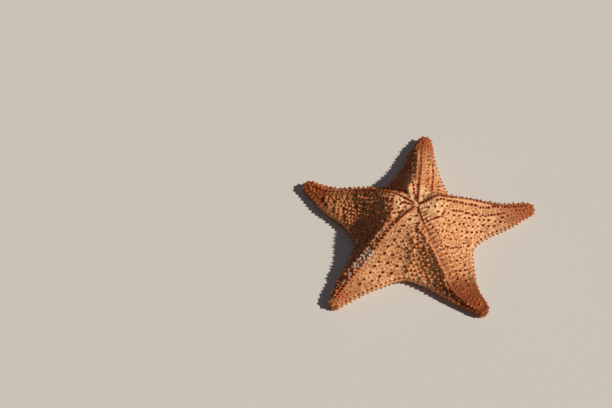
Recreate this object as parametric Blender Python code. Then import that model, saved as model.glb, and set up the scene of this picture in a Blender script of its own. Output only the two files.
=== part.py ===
import math
import random

import bmesh
import bpy
from mathutils import Matrix, Vector

# A large, thick-bodied cushion sea star lying flat, life size.
# Sizes are in metres and angles in degrees, counted from +X towards +Y about the middle of the mouth.

# Body: its height over the mouth, the height that its edge falls to, and how the top falls in between
TOP_HEIGHT = 0.0412
EDGE_HEIGHT = 0.0050
FALL_SHARE = 0.60
FALL_POWER = 4.0
MEAN_REACH = 0.080
VALLEY_FADE = 2.5

# Edge of an arm seen from above: a round tip, then one smooth curve into the notch
TIP_RADIUS = 0.0046
TIP_ARC = 73.0
TIP_SHARE = 0.20
SIDE_PULL = 0.030
NOTCH_PULL = 0.012
BOW_START = 0.53

# Width of the ridge of larger plates along the crest of each arm
RIDGE_WIDTH = 0.0045

# Faces beside the crests: how a shelf begins and narrows outwards, how far out a round face stays round, and
# the strip over which an edge is let down
SHELF_RISE = 0.25
SHELF_TAPER = 0.45
SPREAD_FADE = 3.0
DROP_WIDTH = 0.012

# Edge of the body from its top row of plates down to the flat underside: way out, share of the height
EDGE_PROFILE = ((0.0014, 0.72), (0.0016, 0.30), (-0.0006, 0.0))

# crest_turn swings the crest away from the arm's axis near the disc, bow bends the arm sideways half way
# out, and ridge is the height of the larger plates along the crest. An arm's low face is where a is below 0,
# and its high face where a is above 0. Each has a flat shelf beside the crest, a spread that is below 1 where
# the face is round, a blend that is below 1 where the valley's fullness reaches up the face, and a drop by
# which its outer edge is let down.
ARMS = (
    {
        "name": "right", "angle": 11.6, "reach": 0.1192, "bow": -0.0030,
        "crest_turn": 9.0, "turn_fade": 1.0, "shelf_start": 0.12, "shelf_width": 0.0060,
        "ridge": 0.0014,
        "low": {"shelf": 0.0010, "spread": 1.0, "blend": 1.5, "drop": 0.0},
        "high": {"shelf": 0.0010, "spread": 1.0, "blend": 1.5, "drop": 0.0},
    },
    {
        "name": "far", "angle": 81.5, "reach": 0.1176, "bow": 0.0015,
        "crest_turn": 1.0, "turn_fade": 1.5, "shelf_start": 0.12, "shelf_width": 0.0115,
        "ridge": 0.0014,
        "low": {"shelf": 0.0010, "spread": 1.0, "blend": 1.5, "drop": 0.0},
        "high": {"shelf": 0.0085, "spread": 1.0, "blend": 1.5, "drop": 0.0},
    },
    {
        "name": "left", "angle": 153.2, "reach": 0.1189, "bow": 0.0050,
        "crest_turn": -9.0, "turn_fade": 0.8, "shelf_start": 0.12, "shelf_width": 0.0060,
        "ridge": 0.0014,
        "low": {"shelf": 0.0010, "spread": 1.0, "blend": 1.5, "drop": 0.0},
        "high": {"shelf": 0.0010, "spread": 1.0, "blend": 1.5, "drop": 0.0},
    },
    {
        "name": "near_left", "angle": 228.0, "reach": 0.1217, "bow": -0.0010,
        "crest_turn": -5.0, "turn_fade": 0.8, "shelf_start": 0.24, "shelf_width": 0.0120,
        "ridge": 0.0014,
        "low": {"shelf": 0.0085, "spread": 1.0, "blend": 1.5, "drop": 0.0},
        "high": {"shelf": 0.0004, "spread": 1.0, "blend": 1.5, "drop": 0.0},
    },
    {
        "name": "near_right", "angle": 300.4, "reach": 0.1149, "bow": -0.0035,
        "crest_turn": -21.0, "turn_fade": 1.4, "shelf_start": 0.12, "shelf_width": 0.0080,
        "ridge": 0.0002,
        "low": {"shelf": 0.0, "spread": 0.85, "blend": 0.5, "drop": 0.0070},
        "high": {"shelf": 0.0020, "spread": 1.0, "blend": 1.5, "drop": 0.0},
    },
)
# The notch that follows each arm, with how the top falls away above it
NOTCHES = (
    {"angle": 48.8, "reach": 0.0530, "valley_turn": 0.0, "fall_share": 0.60, "fall_power": 4.0},
    {"angle": 117.0, "reach": 0.0566, "valley_turn": 0.0, "fall_share": 0.60, "fall_power": 4.0},
    {"angle": 194.8, "reach": 0.0590, "valley_turn": 0.0, "fall_share": 0.68, "fall_power": 4.0},
    {"angle": 259.6, "reach": 0.0621, "valley_turn": 1.5, "fall_share": 0.80, "fall_power": 6.0},
    {"angle": 335.0, "reach": 0.0583, "valley_turn": 0.0, "fall_share": 0.64, "fall_power": 4.0},
)

# Raised shoulders on the disc
SHOULDERS = (
    {"angle": 18.4, "way": 0.020, "height": 0.0050, "width": 0.0085},
    {"angle": 84.8, "way": 0.024, "height": 0.0015, "width": 0.0100},
    {"angle": 172.0, "way": 0.0240, "height": 0.0040, "width": 0.0075},
)

# Thin cuts that part the body into disc, arms and end plates
CUT_WAY = 0.056
END_PLATE_LENGTH = 0.0052
PART_GAP = 0.0003
CUT_MERGE = 1e-7

# Underside: grooves for the tube feet, and the mouth with its five jaws
BELOW_FLOOR = 0.001
GROOVE_START = 0.008
GROOVE_END_LEFT = 0.0075
GROOVE_WIDTH = 0.0054
GROOVE_TIP_WIDTH = 0.0030
GROOVE_DEPTH = 0.0042
GROOVE_TIP_DEPTH = 0.0024
GROOVE_WALL_SHARE = 0.55
GROOVE_ROOF_SHARE = 0.45
MOUTH_RADIUS = 0.0110
MOUTH_DEPTH = 0.0050
MOUTH_RISE = 0.0008
MOUTH_SIDES = 40
JAW_INNER = 0.0030
JAW_OUTER = 0.0080

# Sieve plate on the disc, between the right arm and the near right arm
SIEVE_ANGLE = 318.0
SIEVE_WAY = 0.0135
SIEVE_RADIUS = 0.0030
SIEVE_SINK = 0.0014
SIEVE_DOME = 0.0012
SIEVE_PROFILE = ((1.0, 0.0), (0.72, 0.65), (0.32, 1.0))
SIEVE_SIDES = 16
SIEVE_SEARCH_RINGS = 52

# Spines: blunt cones of few sides, in rows along the crests and edges and scattered over the faces
SPINE_SIDES = 5
SPINE_RADIUS = 0.0016
SPINE_HEIGHT = 0.0023
SPINE_SINK = 0.0016
SPINE_FOOT_SHARE = 1.15
SPINE_TOP_SHARE = 0.42
SPINE_HEIGHT_SHARES = (0.88, 1.12)
SPINE_LEAN = 0.12
CREST_START = 0.008
CREST_SEARCH_STEP = 0.0008
CREST_STEP = 0.0062
CREST_SIZE = 1.12
EDGE_PLACES = 150
EDGE_STEP = 0.0062
EDGE_SIZE = 1.15
EDGE_LIFT = 0.55
FACE_STEP = 0.0076
FACE_TRIES = 9000
FACE_FIRST = 0.03
FACE_LAST = 0.95
FACE_BIAS = 0.6
FACE_SIZES = (0.72, 1.0)
CUT_CLEAR = 0.0030
SIEVE_CLEAR = 0.0058

# Tube feet: two rows in each groove, ending clear of the floor
FOOT_SIDES = 5
FOOT_FIRST = 0.0160
FOOT_STEP = 0.0105
FOOT_END_CLEAR = 0.0042
FOOT_RADIUS = 0.0007
FOOT_SHARES = (1.1, 0.85, 1.2)
FOOT_NECK_HEIGHT = 0.0013
FOOT_LIFT = 0.0006
FOOT_SINK = 0.0008
FOOT_SPREAD = 0.24

# Fineness of the facets: columns kept of ten on each side of an arm, from the disc's middle out to the edge
HALF_COLUMNS = 10
RINGS = 13
FIRST_RING = 0.12
COLUMN_LEVELS = (
    (0.27, (0, 6, 8, 10)),
    (0.50, (0, 3, 6, 8, 9, 10)),
    (0.93, (0, 3, 5, 6, 7, 8, 9, 10)),
    (9.00, tuple(range(HALF_COLUMNS + 1))),
)
SLOPE_STEP = 0.01
HALVINGS = 24
SHARP_ANGLE = 35.0
SEED = 11

COLOURS = {
    "skin": ((0.66, 0.30, 0.10, 1.0), 0.62),
    "end_plate": ((0.52, 0.13, 0.04, 1.0), 0.55),
    "sieve": ((0.72, 0.45, 0.22, 1.0), 0.70),
    "mouth": ((0.70, 0.42, 0.20, 1.0), 0.60),
}


def wrapped(angle):
    return (angle + 180.0) % 360.0 - 180.0


def smooth(value):
    value = min(1.0, max(0.0, value))
    return value * value * (3.0 - 2.0 * value)


def polar(way, angle, height=0.0):
    turn = math.radians(angle)
    return Vector((way * math.cos(turn), way * math.sin(turn), height))


def notch_of(i, a):
    return NOTCHES[i] if a >= 0 else NOTCHES[i - 1]


# Edge of the unbowed arm seen from above, as way out and swing from the arm's axis in degrees.
# a runs from -1 in the notch before arm i, past its tip at 0, to 1 in the notch after it.
def edge_of(i, a):
    arm = ARMS[i]
    notch = notch_of(i, a)
    turn = math.radians(abs(wrapped(notch["angle"] - arm["angle"])))
    arc = math.radians(TIP_ARC)
    tip = Vector((arm["reach"] - TIP_RADIUS, 0.0))
    share = abs(a)
    if share <= TIP_SHARE:
        beta = arc * share / TIP_SHARE
        point = tip + TIP_RADIUS * Vector((math.cos(beta), math.sin(beta)))
    else:
        t = (share - TIP_SHARE) / (1.0 - TIP_SHARE)
        start = tip + TIP_RADIUS * Vector((math.cos(arc), math.sin(arc)))
        end = notch["reach"] * Vector((math.cos(turn), math.sin(turn)))
        first = start + SIDE_PULL * Vector((-math.sin(arc), math.cos(arc)))
        second = end + NOTCH_PULL * Vector((math.sin(turn), -math.cos(turn)))
        point = (
            (1 - t) ** 3 * start
            + 3 * t * (1 - t) ** 2 * first
            + 3 * t * t * (1 - t) * second
            + t ** 3 * end
        )
    swing = math.degrees(math.atan2(point.y, point.x))
    return point.length, swing if a >= 0 else -swing


# Turn of the bowed arm, in degrees, at this way out
def bow_turn(i, way):
    arm = ARMS[i]
    share = (way / arm["reach"] - BOW_START) / (1.0 - BOW_START)
    if share <= 0.0 or share >= 1.0:
        return 0.0
    return math.degrees(arm["bow"] * math.sin(math.pi * share) ** 2 / way)


def crest_angle(i, v):
    arm = ARMS[i]
    return arm["angle"] + arm["crest_turn"] * (1.0 - v ** arm["turn_fade"])


def way_out(reach, v):
    return v * MEAN_REACH * (reach / MEAN_REACH) ** (0.5 + 0.5 * v)


# Point of the top: v is 0 over the mouth and 1 at the edge
def top_point(i, a, v):
    arm = ARMS[i]
    face = arm["high"] if a >= 0 else arm["low"]
    notch = notch_of(i, a)
    reach, swing = edge_of(i, a)
    crest = crest_angle(i, v)
    valley = notch["angle"] + notch["valley_turn"] * (1.0 - v ** VALLEY_FADE)
    spread = 1.0 - (1.0 - face["spread"]) * (1.0 - v ** SPREAD_FADE)
    share = abs(swing / wrapped(notch["angle"] - arm["angle"]))
    off_crest = share ** spread * wrapped(valley - crest)
    way = way_out(reach, v)
    point = polar(way, crest + off_crest + bow_turn(i, way))
    to_valley = abs(a) ** face["blend"]
    fall_share = FALL_SHARE + to_valley * (notch["fall_share"] - FALL_SHARE)
    fall_power = FALL_POWER + to_valley * (notch["fall_power"] - FALL_POWER)
    fall = 1.0 / (1.0 + (v / fall_share) ** fall_power)
    height = EDGE_HEIGHT + (TOP_HEIGHT - EDGE_HEIGHT) * fall
    beside = way * math.sin(math.radians(off_crest))
    ends = math.sin(math.pi * min(1.0, v)) ** 0.5
    height += ends * arm["ridge"] * math.exp(-((beside / RIDGE_WIDTH) ** 2))
    off = (beside / (arm["shelf_width"] * (1.0 - SHELF_TAPER * v))) ** 2
    begun = smooth((v - arm["shelf_start"]) / SHELF_RISE)
    height += ends * begun * math.sqrt(fall) * face["shelf"] * off * math.exp(1.0 - off)
    height -= face["drop"] * (1.0 - to_valley) * v ** 4 * smooth(abs(beside) / DROP_WIDTH)
    for shoulder in SHOULDERS:
        away = (point - polar(shoulder["way"], shoulder["angle"])).length
        height += shoulder["height"] * math.exp(-((away / shoulder["width"]) ** 2))
    point.z = height
    return point


# Unit vector straight out of the edge, seen from above
def edge_out(i, a):
    before = top_point(i, max(-1.0, a - SLOPE_STEP), 1.0)
    after = top_point(i, min(1.0, a + SLOPE_STEP), 1.0)
    along = after - before
    return Vector((along.y, -along.x, 0.0)).normalized()


def edge_point(i, a, out, share):
    point = top_point(i, a, 1.0)
    place = point + out * edge_out(i, a)
    return Vector((place.x, place.y, share * point.z))


def surface_normal(i, a, v):
    a = max(SLOPE_STEP - 1.0, min(1.0 - SLOPE_STEP, a))
    across = top_point(i, a + SLOPE_STEP, v) - top_point(i, a - SLOPE_STEP, v)
    outward = top_point(i, a, v + SLOPE_STEP) - top_point(i, a, v - SLOPE_STEP)
    normal = outward.cross(across).normalized()
    return normal if normal.z > 0 else -normal


def node_from(bm, name, finish):
    mesh = bpy.data.meshes.new(name)
    bm.to_mesh(mesh)
    bm.free()
    node = bpy.data.objects.new(name, mesh)
    bpy.context.scene.collection.objects.link(node)
    if finish not in bpy.data.materials:
        colour, roughness = COLOURS[finish]
        made = bpy.data.materials.new(finish)
        made.use_nodes = True
        shader = made.node_tree.nodes["Principled BSDF"]
        shader.inputs["Base Color"].default_value = colour
        shader.inputs["Roughness"].default_value = roughness
        shader.inputs["Metallic"].default_value = 0.0
    mesh.materials.append(bpy.data.materials[finish])
    return node


# Columns kept at this share of the way out, as places in the loop of all columns with their arm and a
def columns_at(v):
    kept = next(columns for limit, columns in COLUMN_LEVELS if v < limit)
    found = []
    for i in range(len(ARMS)):
        for k in range(1 - HALF_COLUMNS, HALF_COLUMNS + 1):
            if abs(k) in kept:
                found.append((2 * HALF_COLUMNS * i + k + HALF_COLUMNS - 1, i, k / HALF_COLUMNS))
    return found


# Faces between two rings, the inner of which may have fewer columns
def bridge(bm, inner, outer):
    for k, (start, vert) in enumerate(inner):
        end, after = inner[(k + 1) % len(inner)]
        if end > start:
            across = [v for place, v in outer if start <= place <= end]
        else:
            across = [v for place, v in outer if place >= start] + [v for place, v in outer if place <= end]
        bm.faces.new([vert] + across + [after])


# The whole animal as one closed mesh: rings from the middle of the top to the edge, then down to the floor
def whole_body():
    bm = bmesh.new()
    rings = []
    for ring in range(RINGS):
        v = FIRST_RING + (1.0 - FIRST_RING) * ring / (RINGS - 1)
        rings.append([(place, bm.verts.new(top_point(i, a, v))) for place, i, a in columns_at(v)])
    for out, share in EDGE_PROFILE:
        rings.append([(place, bm.verts.new(edge_point(i, a, out, share))) for place, i, a in columns_at(1.0)])
    middle = bm.verts.new(top_point(0, 0.0, 0.0))
    for k, (place, vert) in enumerate(rings[0]):
        bm.faces.new((middle, vert, rings[0][(k + 1) % len(rings[0])][1]))
    for inner, outer in zip(rings, rings[1:]):
        bridge(bm, inner, outer)
    bm.faces.new([vert for place, vert in rings[-1]])
    bmesh.ops.triangulate(bm, faces=bm.faces[:], quad_method="SHORT_EDGE", ngon_method="BEAUTY")
    bmesh.ops.recalc_face_normals(bm, faces=bm.faces)
    return node_from(bm, "whole_body", "skin")


# Closed solid through a stack of like outlines
def add_loft(bm, outlines):
    rings = [[bm.verts.new(point) for point in outline] for outline in outlines]
    count = len(rings[0])
    faces = [bm.faces.new(rings[0]), bm.faces.new(rings[-1])]
    for low, high in zip(rings, rings[1:]):
        for k in range(count):
            after = (k + 1) % count
            faces.append(bm.faces.new((low[k], low[after], high[after], high[k])))
    bmesh.ops.recalc_face_normals(bm, faces=faces)


def round_outline(radius, height, sides, centre=Vector((0, 0, 0)), turn=0.0):
    return [centre + polar(radius, turn + 360.0 * k / sides, height) for k in range(sides)]


def groove_size(arm, way):
    share = (way - GROOVE_START) / (arm["reach"] - GROOVE_END_LEFT - GROOVE_START)
    width = GROOVE_WIDTH + share * (GROOVE_TIP_WIDTH - GROOVE_WIDTH)
    depth = GROOVE_DEPTH + share * (GROOVE_TIP_DEPTH - GROOVE_DEPTH)
    return width, depth


def groove_cutter(arm):
    bm = bmesh.new()
    ends = []
    for way in (GROOVE_START, arm["reach"] - GROOVE_END_LEFT):
        width, depth = groove_size(arm, way)
        half = 0.5 * width
        wall = GROOVE_WALL_SHARE * depth
        outline = ((-half, -BELOW_FLOOR), (-half, wall), (-GROOVE_ROOF_SHARE * half, depth))
        outline += tuple((-y, z) for y, z in reversed(outline))
        ends.append([Vector((way, y, z)) for y, z in outline])
    add_loft(bm, ends)
    turn = Matrix.Rotation(math.radians(arm["angle"]), 3, "Z")
    bmesh.ops.rotate(bm, verts=bm.verts, cent=(0, 0, 0), matrix=turn)
    return node_from(bm, "groove_cutter", "skin")


def mouth_cutter():
    bm = bmesh.new()
    levels = (-BELOW_FLOOR, MOUTH_DEPTH)
    add_loft(bm, [round_outline(MOUTH_RADIUS, level, MOUTH_SIDES) for level in levels])
    return node_from(bm, "mouth_cutter", "skin")


# Floor of the sieve plate's recess: a little below the lowest point of the top beneath the plate
def sieve_floor():
    lowest = TOP_HEIGHT
    for i in (0, len(ARMS) - 1):
        for k in range(-HALF_COLUMNS, HALF_COLUMNS + 1):
            for ring in range(1, SIEVE_SEARCH_RINGS):
                point = top_point(i, k / HALF_COLUMNS, ring / SIEVE_SEARCH_RINGS)
                off = Vector((point.x, point.y, 0.0)) - polar(SIEVE_WAY, SIEVE_ANGLE)
                if off.length < SIEVE_RADIUS:
                    lowest = min(lowest, point.z)
    return lowest - SIEVE_SINK


def sieve_cutter(floor):
    bm = bmesh.new()
    centre = polar(SIEVE_WAY, SIEVE_ANGLE)
    levels = (floor, 2 * TOP_HEIGHT)
    add_loft(bm, [round_outline(SIEVE_RADIUS + PART_GAP, level, SIEVE_SIDES, centre) for level in levels])
    return node_from(bm, "sieve_cutter", "skin")


# Low round dome that sits in its own recess of the disc
def sieve_plate(floor):
    bm = bmesh.new()
    centre = polar(SIEVE_WAY, SIEVE_ANGLE)
    base = floor + PART_GAP
    rim = base + SIEVE_SINK
    levels = [(1.0, base)] + [(share, rim + rise * SIEVE_DOME) for share, rise in SIEVE_PROFILE]
    add_loft(bm, [round_outline(share * SIEVE_RADIUS, level, SIEVE_SIDES, centre) for share, level in levels])
    return node_from(bm, "sieve_plate", "sieve")


# Ring of jaws round the mouth: its inner edge comes in at each notch and goes out at each arm
def mouth():
    bm = bmesh.new()
    outer = MOUTH_RADIUS - PART_GAP
    levels = (MOUTH_RISE, MOUTH_DEPTH - PART_GAP)
    loops = []
    for inside, level in ((False, levels[0]), (False, levels[1]), (True, levels[1]), (True, levels[0])):
        loop = []
        for k in range(MOUTH_SIDES):
            angle = 360.0 * k / MOUTH_SIDES
            open_share = 0.5 + 0.5 * math.cos(math.radians(len(ARMS) * (angle - ARMS[0]["angle"])))
            way = JAW_INNER + (JAW_OUTER - JAW_INNER) * open_share if inside else outer
            loop.append(bm.verts.new(polar(way, angle, level)))
        loops.append(loop)
    for n, loop in enumerate(loops):
        following = loops[(n + 1) % len(loops)]
        for k in range(MOUTH_SIDES):
            after = (k + 1) % MOUTH_SIDES
            bm.faces.new((loop[k], loop[after], following[after], following[k]))
    bmesh.ops.recalc_face_normals(bm, faces=bm.faces)
    return node_from(bm, "mouth", "mouth")


# Joins the tools to the target or takes them from it, then removes them
def boolean(target, tools, operation):
    group = bpy.data.collections.new("tools")
    for tool in tools:
        bpy.context.scene.collection.objects.unlink(tool)
        group.objects.link(tool)
    bpy.context.scene.collection.children.link(group)
    change = target.modifiers.new("change", "BOOLEAN")
    change.operand_type = "COLLECTION"
    change.collection = group
    change.operation = operation
    change.solver = "EXACT"
    bpy.context.view_layer.update()
    made = bpy.data.meshes.new_from_object(target.evaluated_get(bpy.context.evaluated_depsgraph_get()))
    target.modifiers.remove(change)
    old = target.data
    target.data = made
    bpy.data.meshes.remove(old)
    for tool in tools:
        bpy.data.objects.remove(tool)
    bpy.data.collections.remove(group)


# Keeps only the closed surface with the most volume
def keep_largest(node):
    bm = bmesh.new()
    bm.from_mesh(node.data)
    bmesh.ops.triangulate(bm, faces=bm.faces[:])
    bm.faces.ensure_lookup_table()
    seen = set()
    groups = []
    for face in bm.faces:
        if face.index in seen:
            continue
        seen.add(face.index)
        group = [face]
        for current in group:
            for edge in current.edges:
                for other in edge.link_faces:
                    if other.index not in seen:
                        seen.add(other.index)
                        group.append(other)
        groups.append(group)
    volumes = []
    for group in groups:
        corners = [[vert.co for vert in face.verts] for face in group]
        volumes.append(sum(p.dot(q.cross(r)) for p, q, r in corners) / 6.0)
    largest = volumes.index(max(volumes))
    loose = [face for k, group in enumerate(groups) if k != largest for face in group]
    bmesh.ops.delete(bm, geom=loose, context="FACES")
    bm.to_mesh(node.data)
    bm.free()
    print(node.name, "kept", round(volumes[largest] * 1e6, 2), "ml and dropped", len(groups) - 1, "scraps")


# Copy of the whole body kept on one side of each plane, with the cuts closed
def cut_piece(whole, name, finish, planes):
    bm = bmesh.new()
    bm.from_mesh(whole.data)
    for point, kept in planes:
        everything = bm.verts[:] + bm.edges[:] + bm.faces[:]
        bmesh.ops.bisect_plane(
            bm, geom=everything, dist=CUT_MERGE, plane_co=point, plane_no=kept, clear_inner=True
        )
        open_edges = [edge for edge in bm.edges if edge.is_boundary]
        bmesh.ops.holes_fill(bm, edges=open_edges, sides=0)
    bmesh.ops.triangulate(bm, faces=bm.faces[:], ngon_method="EAR_CLIP")
    bmesh.ops.recalc_face_normals(bm, faces=bm.faces)
    return node_from(bm, name, finish)


def end_plate_way(arm):
    return arm["reach"] + EDGE_PROFILE[1][0] - END_PLATE_LENGTH


def parted(whole):
    nodes = {}
    disc_planes = []
    for arm in ARMS:
        axis = polar(1.0, arm["angle"])
        root = CUT_WAY * axis
        end = end_plate_way(arm) * axis
        gap = 0.5 * PART_GAP * axis
        disc_planes.append((root - gap, -axis))
        arm_name = "arm_" + arm["name"]
        nodes[arm_name] = cut_piece(whole, arm_name, "skin", [(root + gap, axis), (end - gap, -axis)])
        plate_name = "end_plate_" + arm["name"]
        nodes[plate_name] = cut_piece(whole, plate_name, "end_plate", [(end + gap, axis)])
    nodes["disc"] = cut_piece(whole, "disc", "skin", disc_planes)
    return nodes


# Node that a point of the body belongs to, or None where it is too near a cut
def owner_of(point, clear):
    for arm in ARMS:
        axis = polar(1.0, arm["angle"])
        way = point.dot(axis)
        beside = abs(point.cross(axis).z)
        if way < CUT_WAY - clear or beside > way:
            continue
        if way < CUT_WAY + clear or way > end_plate_way(arm) - clear:
            return None
        return "arm_" + arm["name"]
    return "disc"


def room_for_spine(point, places, step):
    if owner_of(point, CUT_CLEAR) is None:
        return False
    off_sieve = Vector((point.x, point.y, 0.0)) - polar(SIEVE_WAY, SIEVE_ANGLE)
    if off_sieve.length < SIEVE_CLEAR:
        return False
    return all((point - place["root"]).length > step for place in places)


# Share v at which a column of this reach is this far out
def share_for(reach, way):
    low = 0.0
    high = 1.0
    for halving in range(HALVINGS):
        middle = 0.5 * (low + high)
        if way_out(reach, middle) < way:
            low = middle
        else:
            high = middle
    return low


# Roots of the spines: first the crests, then the edges, then as many as fit evenly on the faces
def spine_places(draw):
    places = []
    for i, arm in enumerate(ARMS):
        for n in range(int((arm["reach"] - CREST_START) / CREST_SEARCH_STEP)):
            v = share_for(arm["reach"], CREST_START + n * CREST_SEARCH_STEP)
            root = top_point(i, 0.0, v)
            if room_for_spine(root, places, CREST_STEP):
                places.append({"root": root, "out": surface_normal(i, 0.0, v), "size": CREST_SIZE})
    for i in range(len(ARMS)):
        for k in range(-EDGE_PLACES, EDGE_PLACES + 1):
            a = k / EDGE_PLACES
            root = edge_point(i, a, 0.5 * EDGE_PROFILE[0][0], 0.5 + 0.5 * EDGE_PROFILE[0][1])
            if room_for_spine(root, places, EDGE_STEP):
                out = (edge_out(i, a) + Vector((0, 0, EDGE_LIFT))).normalized()
                places.append({"root": root, "out": out, "size": EDGE_SIZE})
    for attempt in range(FACE_TRIES):
        i = draw.randrange(len(ARMS))
        a = draw.uniform(-1.0, 1.0)
        v = FACE_FIRST + (FACE_LAST - FACE_FIRST) * draw.random() ** FACE_BIAS
        root = top_point(i, a, v)
        if room_for_spine(root, places, FACE_STEP):
            places.append({"root": root, "out": surface_normal(i, a, v), "size": draw.uniform(*FACE_SIZES)})
    return places


def spine(place, draw):
    size = place["size"]
    lean = Vector([draw.uniform(-1.0, 1.0) for axis in range(3)])
    out = (place["out"] + SPINE_LEAN * lean).normalized()
    height = SPINE_SINK + size * draw.uniform(*SPINE_HEIGHT_SHARES) * SPINE_HEIGHT
    turn = draw.uniform(0.0, 360.0)
    lie = Vector((0, 0, 1)).rotation_difference(out).to_matrix()
    base = place["root"] - SPINE_SINK * out
    bm = bmesh.new()
    outlines = []
    for share, rise in ((SPINE_FOOT_SHARE, 0.0), (SPINE_TOP_SHARE, height)):
        outline = round_outline(share * size * SPINE_RADIUS, rise, SPINE_SIDES, turn=turn)
        outlines.append([base + lie @ point for point in outline])
    add_loft(bm, outlines)
    return node_from(bm, "spine", "skin")


def tube_foot(point, roof):
    bm = bmesh.new()
    levels = (roof + FOOT_SINK, FOOT_NECK_HEIGHT, FOOT_LIFT)
    outlines = []
    for share, level in zip(FOOT_SHARES, levels):
        outlines.append(round_outline(share * FOOT_RADIUS, level, FOOT_SIDES, point))
    add_loft(bm, outlines)
    return node_from(bm, "tube_foot", "skin")


def tube_feet(arm):
    feet = []
    way = FOOT_FIRST
    while way < arm["reach"] - GROOVE_END_LEFT - FOOT_END_CLEAR:
        width, depth = groove_size(arm, way)
        for side in (-90.0, 90.0):
            point = polar(way, arm["angle"]) + polar(FOOT_SPREAD * width, arm["angle"] + side)
            owner = owner_of(point, 2 * FOOT_RADIUS)
            if owner is not None:
                feet.append((owner, tube_foot(point, depth)))
        way += FOOT_STEP
    return feet


def main():
    for old in list(bpy.data.objects):
        bpy.data.objects.remove(old)
    draw = random.Random(SEED)
    whole = whole_body()
    floor = sieve_floor()
    cutters = [groove_cutter(arm) for arm in ARMS] + [mouth_cutter(), sieve_cutter(floor)]
    boolean(whole, cutters, "DIFFERENCE")
    nodes = parted(whole)
    bpy.data.objects.remove(whole)
    pieces = {name: [] for name in nodes}
    for place in spine_places(draw):
        pieces[owner_of(place["root"], CUT_CLEAR)].append(spine(place, draw))
    for arm in ARMS:
        for owner, foot in tube_feet(arm):
            pieces[owner].append(foot)
    for name, node in nodes.items():
        if pieces[name]:
            boolean(node, pieces[name], "UNION")
        keep_largest(node)
    nodes["sieve_plate"] = sieve_plate(floor)
    nodes["mouth"] = mouth()
    corners = [vertex.co for node in nodes.values() for vertex in node.data.vertices]
    middle_x = 0.5 * (min(c.x for c in corners) + max(c.x for c in corners))
    middle_y = 0.5 * (min(c.y for c in corners) + max(c.y for c in corners))
    for name, node in nodes.items():
        node.location = (-middle_x, -middle_y, 0.0)
        node.data.shade_smooth()
        node.data.set_sharp_from_angle(angle=math.radians(SHARP_ANGLE))
        print(name, len(node.data.polygons), "faces and", len(pieces.get(name, ())), "spines and feet")


main()
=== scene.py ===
import math
import random

import bpy
import numpy as np
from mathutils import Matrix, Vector, noise
from mathutils.kdtree import KDTree


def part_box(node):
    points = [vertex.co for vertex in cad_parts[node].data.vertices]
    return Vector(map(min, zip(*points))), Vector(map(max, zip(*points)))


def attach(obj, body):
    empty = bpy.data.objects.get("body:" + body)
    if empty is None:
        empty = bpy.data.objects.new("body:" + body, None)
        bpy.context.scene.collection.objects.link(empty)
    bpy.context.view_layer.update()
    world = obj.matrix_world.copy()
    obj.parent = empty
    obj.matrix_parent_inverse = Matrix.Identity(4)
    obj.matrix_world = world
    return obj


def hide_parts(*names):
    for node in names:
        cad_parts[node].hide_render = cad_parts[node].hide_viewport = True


# A living cushion star lying flat, dressed round its solids. Metres, and degrees from +X towards +Y
# about the middle of the mouth.
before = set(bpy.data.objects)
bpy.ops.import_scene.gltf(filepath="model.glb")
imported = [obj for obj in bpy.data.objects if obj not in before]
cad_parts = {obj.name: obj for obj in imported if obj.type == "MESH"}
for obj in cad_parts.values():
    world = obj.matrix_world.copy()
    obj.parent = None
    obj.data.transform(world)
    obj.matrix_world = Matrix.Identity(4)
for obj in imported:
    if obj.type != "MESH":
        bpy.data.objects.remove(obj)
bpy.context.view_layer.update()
mouthLow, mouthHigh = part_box("mouth")
starCentre = np.array([(mouthLow.x + mouthHigh.x) / 2, (mouthLow.y + mouthHigh.y) / 2, 0])
print("solids loaded, middle of the mouth at", starCentre.round(4))

# The form of the body, as the solids have it
body = {
    "topHeight": 0.0412,
    "edgeHeight": 0.0050,
    "fallShare": 0.60,
    "fallPower": 4.0,
    "meanReach": 0.080,
    "valleyFade": 2.5,
    "valleyBlend": 1.5,
    "ridgeWidth": 0.0045,
    "shelfRise": 0.25,
    "spreadFade": 3.0,
    "dropWidth": 0.012,
    "tipRadius": 0.0046,
    "tipArc": 73.0,
    "tipShare": 0.20,
    "sidePull": 0.030,
    "notchPull": 0.012,
    "bowStart": 0.53,
    "endPower": 0.5,
    "shelfTaper": 0.45,
    "dropPower": 4,
}
arms = {
    "name": np.array(["right", "far", "left", "near_left", "near_right"]),
    "angle": np.array([11.6, 81.5, 153.2, 228.0, 300.4]),
    "reach": np.array([0.1192, 0.1176, 0.1189, 0.1217, 0.1149]),
    "bow": np.array([-0.0030, 0.0015, 0.0050, -0.0010, -0.0035]),
    "crestTurn": np.array([9.0, 1.0, -9.0, -5.0, -21.0]),
    "turnFade": np.array([1.0, 1.5, 0.8, 0.8, 1.4]),
    "ridge": np.array([0.0014, 0.0014, 0.0014, 0.0014, 0.0002]),  # height of the plates along the crest
    "shelfStart": np.array([0.12, 0.12, 0.12, 0.24, 0.12]),
    "shelfWidth": np.array([0.0060, 0.0115, 0.0060, 0.0120, 0.0080]),
    "lowShelf": np.array([0.0010, 0.0010, 0.0010, 0.0085, 0.0]),  # beside the crest, where a is below 0
    "highShelf": np.array([0.0010, 0.0085, 0.0010, 0.0004, 0.0020]),
    "lowSpread": np.array([1.0, 1.0, 1.0, 1.0, 0.85]),  # below 1 is rounder near the crest
    "lowBlend": np.array([1.5, 1.5, 1.5, 1.5, 0.5]),
    "lowDrop": np.array([0.0, 0.0, 0.0, 0.0, 0.0070]),  # how far the edge is let down along the outer arm
}
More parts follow.
